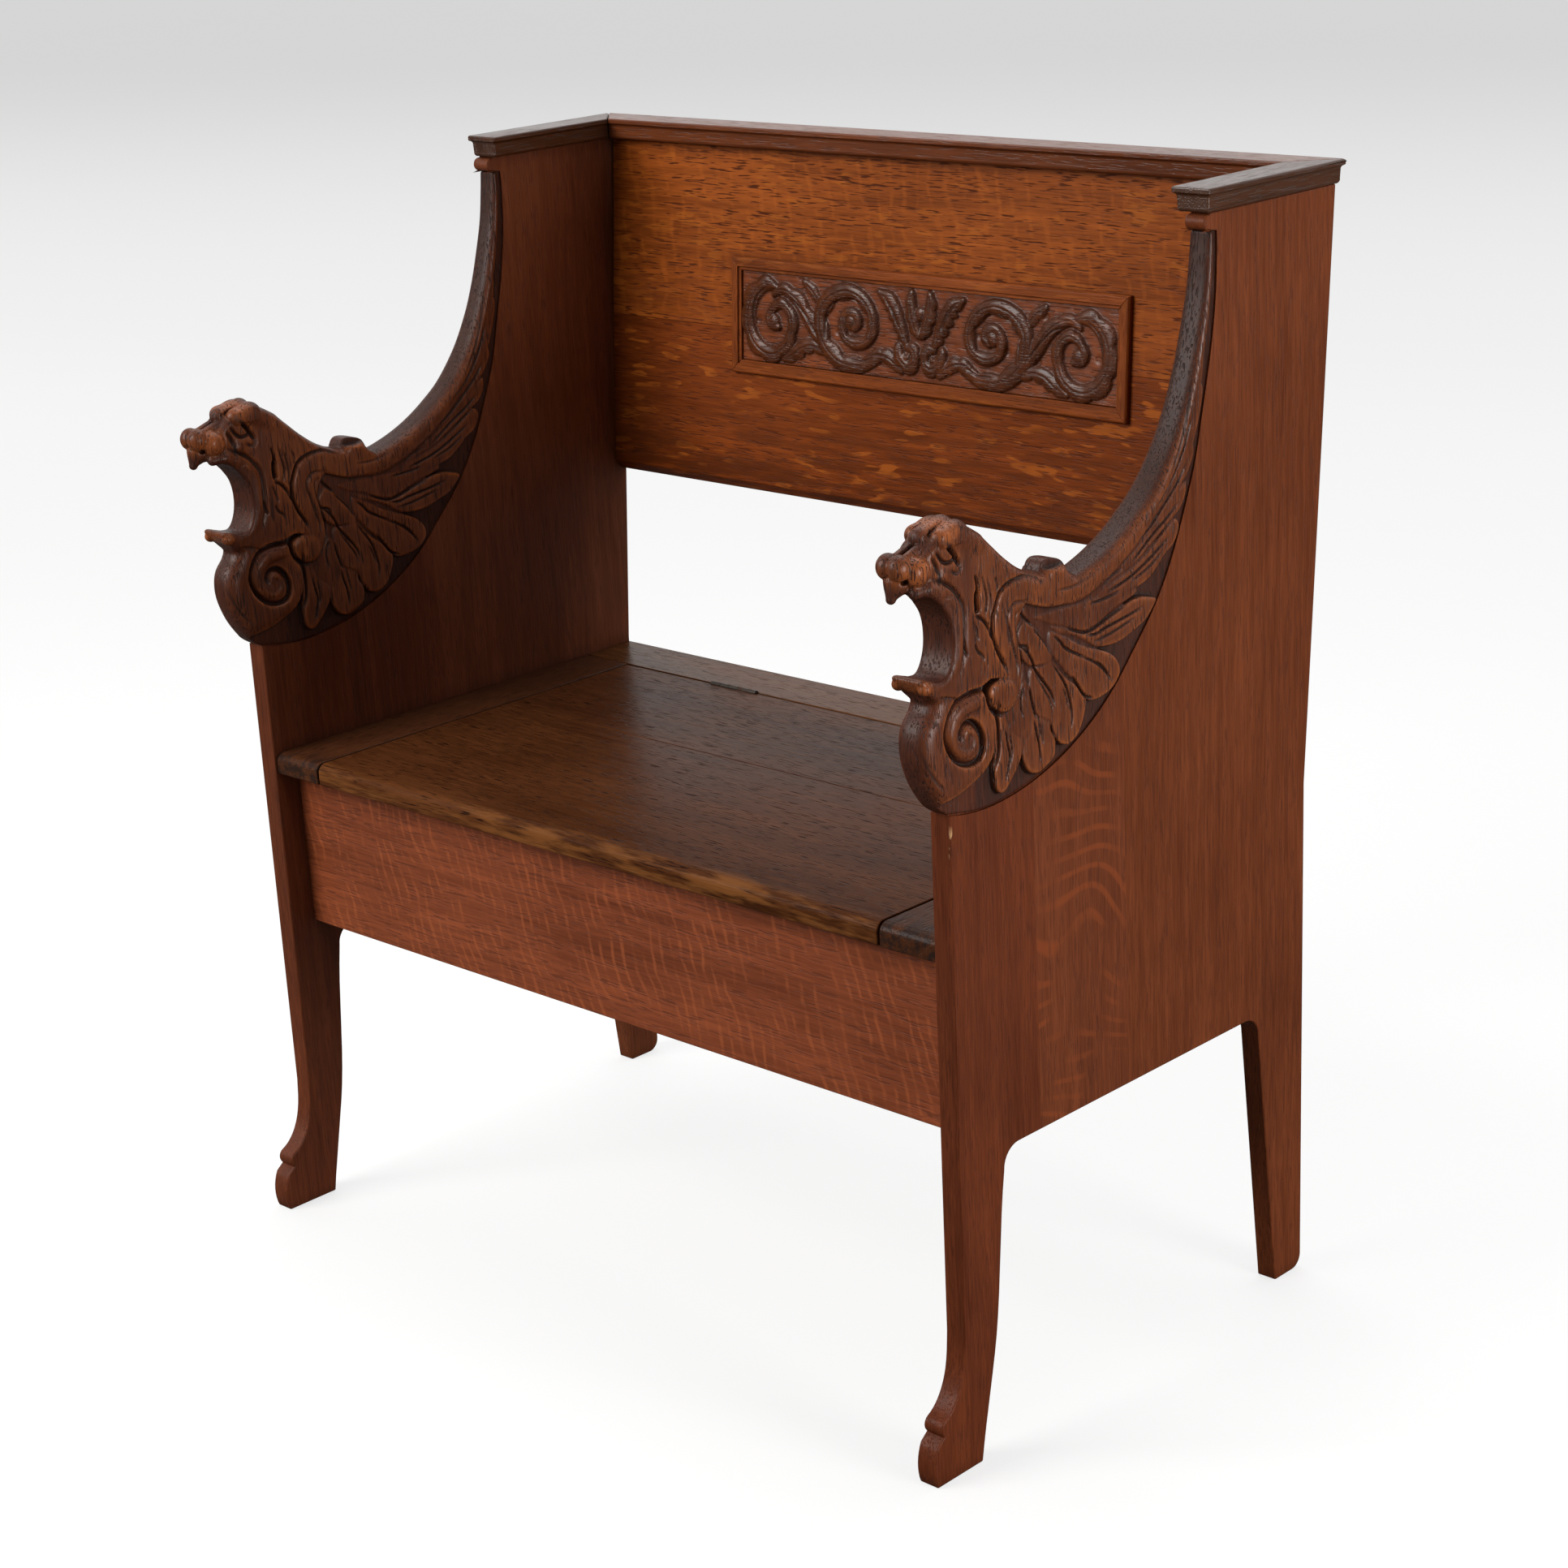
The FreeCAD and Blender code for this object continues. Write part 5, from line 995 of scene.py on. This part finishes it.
# one half, in millimetres from the middle; the other half mirrors it
stems = [
    # line, half widths, crests above the board, lobes along one edge
    ([(-186, 31), (-203, 32), (-217, 22), (-224, 6), (-223, -12), (-213, -27), (-198, -34), (-183, -32),
      (-171, -22), (-165, -7), (-168, 8), (-179, 15), (-190, 11), (-196, 2), (-192, -6), (-184, -8)],
     (3, 6, 7, 7.5, 7.5, 7, 7, 6.5, 6, 5.5, 5.5, 5, 4.5, 4, 4, 3.5), (4.8, 5.4, 5.6, 5.6, 5.4, 5.4), 9),
    ([(-116, -26), (-135, -8), (-149, 12), (-163, 24), (-178, 29), (-190, 24)], (3, 5, 6.5, 6, 5, 3),
     (4.6, 5.4, 5.6, 5.4, 4.8), 4),
    ([(-45, -22), (-60, -29), (-78, -35), (-98, -34), (-115, -25), (-126, -10), (-128, 8), (-121, 22),
      (-107, 31), (-90, 34), (-73, 28), (-62, 15), (-60, 0), (-68, -11), (-83, -15), (-96, -9), (-100, 3),
      (-93, 13), (-82, 13), (-78, 5), (-84, 0)],
     (3, 5, 6, 6.5, 7, 7.5, 7.5, 7, 7, 6.5, 6, 5.5, 5.5, 5.5, 5, 5, 4.5, 4.5, 4, 4, 3.5),
     (4.6, 5.6, 5.8, 5.8, 5.6, 5.6, 5.4), 11),
    ([(-176, -38), (-163, -32), (-150, -24), (-136, -22), (-122, -27)], (3, 6, 6, 5, 3),
     (4.2, 4.8, 4.6, 4.2), 4),
    ([(-24, -34), (-36, -26), (-50, -22), (-62, -24)], (4, 6, 5, 3), (4.6, 5.0, 4.6), 3),
    ([(-52, 36), (-40, 30), (-31, 18), (-24, 4), (-19, -8)], (3, 7, 7, 6, 4), (4.6, 5.8, 5.8, 5.4, 4.8), 5),
    ([(-28, -14), (-24, -24), (-14, -30), (-6, -24), (-8, -14), (-16, -12)], (5, 6, 6, 5, 4.5, 4),
     (5.2, 5.6, 5.6, 5.4, 5.0), 3),
    ([(-12, 38), (-12, 24), (-8, 10), (-3, 0)], (4, 6, 6, 4), (5.0, 5.6, 5.6, 5.2), 3),
    ([(-150, 38), (-138, 30), (-130, 20)], (3, 5, 3), (3.8, 4.2, 3.8), 2),
]
stemCuts = [
    [(-196, 32), (-212, 20), (-217, 4), (-214, -12), (-204, -24)],
    [(-120, -14), (-120, 8), (-112, 20), (-98, 26), (-84, 26), (-72, 18)],
    [(-130, -12), (-146, 6), (-160, 18), (-176, 24)],
    [(-44, 32), (-34, 20), (-27, 6)],
    [(-90, -30), (-72, -30), (-58, -25)],
]
bosses = [((-190, -3), 8, 5.8), ((-88, 5), 8, 5.8), ((-17, -21), 5, 5.4), ((0, 20), 7, 5.6)]
holes = [(-186, 20), (-211, -3), (-106, -6), (-17, -18), (-72, 6), (-142, -12), (-150, 30)]
ways = (-1, 1)
for line, widths, crests, lobes in stems:
    wide = [width * panelShape["spread"] for width in widths]
    for way in ways:
        run = [(way * a, b) for a, b in line]
        panel.ridge(run, wide, crests, panelShape["ground"], 0.5, lobes, way)
        panel.groove(run, (0.8, 0.8), (0.2, 0.6, 0.6, 0.3))
for (a, b), radius, crest in bosses:
    for way in ways:
        panel.dome((way * a, b), (radius, radius), crest, 2.5)
for line in stemCuts:
    for way in ways:
        panel.groove([(way * a, b) for a, b in line], (0.9, 0.9), (0.8, 1.3, 0.9))
for a, b in holes:
    for way in ways:
        panel.hollow((way * a, b), (3.0, 3.0), 2.4)
# the ground is not dead level
wander = np.sin(panel.gridA * 0.31) * np.sin(panel.gridB * 0.27 + panel.gridA * 0.05) * 0.14
panel.height = np.clip(panel.height + wander, panelShape["lowest"], panelShape["highest"])


def onSlope(x, up, out):
    # up the slope from where the back starts to lean, and out from the boards' rear face
    y = -out * math.cos(lean) + up * math.sin(lean)
    z = panelShape["start"] + out * math.sin(lean) + up * math.cos(lean)
    return np.stack([x * mm, y * mm + backEdge, z * mm], -1)


countA, countB = panel.height.shape
top = onSlope(panel.gridA, panel.gridB + panelMiddle, panel.height + panelShape["board"]).reshape(-1, 3)
index = np.arange(countA * countB).reshape(countA, countB)
border = np.concatenate([index[:, 0], index[-1, 1:], index[-2::-1, -1], index[0, -2:0:-1]])
edgeA, edgeB = panel.gridA.reshape(-1)[border], panel.gridB.reshape(-1)[border]
low = onSlope(edgeA, edgeB + panelMiddle, panelShape["board"])
base = len(top) + np.arange(len(border))
faces = np.stack([index[:-1, :-1], index[1:, :-1], index[1:, 1:], index[:-1, 1:]], -1).reshape(-1, 4)
skirt = np.stack([np.roll(base, -1), np.roll(border, -1), border, base], -1)
mesh = bpy.data.meshes.new("carved_panel_relief")
mesh.from_pydata([*top.tolist(), *low.tolist()], [],
                 [*faces.tolist(), *skirt.tolist(), base[::-1].tolist()])
shape = bmesh.new()
shape.from_mesh(mesh)
bmesh.ops.recalc_face_normals(shape, faces=shape.faces)
shape.to_mesh(mesh)
shape.free()
mesh.polygons.foreach_set("use_smooth", [place < len(faces) for place in range(len(mesh.polygons))])
# painted shade in the panel's hollows, along its stems' edges, and over its cut sides
hollow = np.maximum(contrast(panel, 16, 0.9)[0] * 0.5, panel.edgeShade)
worn = np.clip(panel.height - panelShape["ground"] - 0.5, 0, 1)
paint(mesh, "hollow", np.concatenate([hollow.reshape(-1), np.ones(len(border))]))
paint(mesh, "worn", np.concatenate([worn.reshape(-1), np.zeros(len(border))]))
mesh.materials.append(panelOak)
carving = bpy.data.objects.new("carved_panel_relief", mesh)
scene.collection.objects.link(carving)
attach(carving, "bench_frame")
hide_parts("carved_panel")
print("panel made", len(faces), "faces")


# studio: a pale paper floor that only the camera sees as white, so that its glare stays off the wood
paper = {
    "half size": 40.0, "level": -0.0005,
    "bounce": (0.12, 0.115, 0.11), "shadow": 0.28,
    # how far along the view, and how bright there
    "away": (-0.414, 0.996, 0.0), "near": 1.3, "middle": 4.0, "far": 12.0,
    "bright": (1.0, 0.88, 0.665),
}
material, tree = newTree("floor_paper")
place = Wire(tree, node(tree, "ShaderNodeTexCoord").outputs["Object"])
away = vectors(tree, "DOT_PRODUCT", place, paper["away"])
bright = [(part, part, part) for part in paper["bright"]]
tone = mixed(tree, away.above(paper["near"], paper["middle"] * 1.3), bright[0], bright[1])
tone = mixed(tree, away.above(paper["middle"], paper["far"]), tone, bright[2])
tone = mixed(tree, noise(tree, place, 0.6) * 0.04, tone, bright[1])
seen = node(tree, "ShaderNodeEmission", {}, {"Color": tone})
lit = node(tree, "ShaderNodeBsdfPrincipled", {}, {
    "Base Color": mixed(tree, 0.1, tone, bright[0]), "Roughness": 0.9, "Specular IOR Level": 0.0})
nearby = (1.0 - away.above(paper["near"], paper["middle"])) * paper["shadow"]
facing = node(tree, "ShaderNodeMixShader", {}, {0: nearby, 1: seen.outputs[0], 2: lit.outputs[0]})
dull = node(tree, "ShaderNodeBsdfDiffuse", {}, {"Color": (*paper["bounce"], 1.0)})
rays = node(tree, "ShaderNodeLightPath")
finished(tree, node(tree, "ShaderNodeMixShader", {}, {
    0: rays.outputs["Is Camera Ray"], 1: dull.outputs[0], 2: facing.outputs[0]}))
shape = bmesh.new()
bmesh.ops.create_grid(shape, x_segments=8, y_segments=8, size=paper["half size"])
mesh = bpy.data.meshes.new("floor")
shape.to_mesh(mesh)
shape.free()
mesh.materials.append(material)
floor = bpy.data.objects.new("floor", mesh)
floor.location.z = paper["level"]
scene.collection.objects.link(floor)

# the room: bright behind the bench, dim where it would veil the sides
room = {"seen": 0.66, "dim": 0.27, "bright": 1.0, "towards": (-0.55, 0.8, 0.25), "fade": (0.1, 0.8)}
greys = {name: (room[name],) * 3 for name in ("seen", "dim", "bright")}
world = bpy.data.worlds.new("studio")
scene.world = world
world.use_nodes = True
tree = world.node_tree
tree.nodes.clear()
way = Wire(tree, node(tree, "ShaderNodeTexCoord").outputs["Generated"])
behind = vectors(tree, "DOT_PRODUCT", way, room["towards"]).above(*room["fade"])
fill = node(tree, "ShaderNodeBackground", {}, {"Color": mixed(tree, behind, greys["dim"], greys["bright"])})
pale = node(tree, "ShaderNodeBackground", {}, {"Color": (*greys["seen"], 1.0)})
rays = node(tree, "ShaderNodeLightPath")
both = node(tree, "ShaderNodeMixShader", {}, {
    0: rays.outputs["Is Camera Ray"], 1: fill.outputs[0], 2: pale.outputs[0]})
feed(tree, node(tree, "ShaderNodeOutputWorld").inputs[0], both.outputs[0])

lamps = {
    # place, aim, size, power, colour
    "key": ((-1.5, -3.2, 2.6), (0.0, 0.0, 0.5), 2.4, 150.0, (1.0, 0.985, 0.96)),
    "right": ((3.6, 0.1, 0.8), (0.4, 0.0, 0.5), 1.2, 88.0, (1.0, 0.99, 0.97)),
    "above": ((-0.4, 0.9, 3.4), (0.0, 0.0, 0.6), 2.2, 32.0, (1.0, 1.0, 1.0)),
}
for name, (place, aim, size, power, colour) in lamps.items():
    data = bpy.data.lights.new(name, "AREA")
    data.size = size
    data.energy = power
    data.color = colour
    lamp = bpy.data.objects.new(name, data)
    lamp.location = place
    lamp.rotation_euler = (Vector(aim) - Vector(place)).to_track_quat("-Z", "Y").to_euler()
    scene.collection.objects.link(lamp)

# the photograph's camera
view = {
    "place": (1.98046, -1.97796, 1.37165), "right": (0.72698971, 0.68491002, -0.04882864),
    "up": (-0.21380184, 0.29336639, 0.93178588), "back": (0.65251417, -0.66695909, 0.35970937),
    "lens": 72.86, "shift": (-0.0129, 0.1027),
}
data = bpy.data.cameras.new("camera")
data.lens = view["lens"]
data.sensor_width = 36.0
data.shift_x, data.shift_y = view["shift"]
data.clip_end = 100.0
camera = bpy.data.objects.new("camera", data)
turn = Matrix((view["right"], view["up"], view["back"])).transposed().to_4x4()
camera.matrix_world = Matrix.Translation(view["place"]) @ turn
scene.collection.objects.link(camera)
scene.camera = camera
scene.view_settings.view_transform = "Standard"
print("studio made")
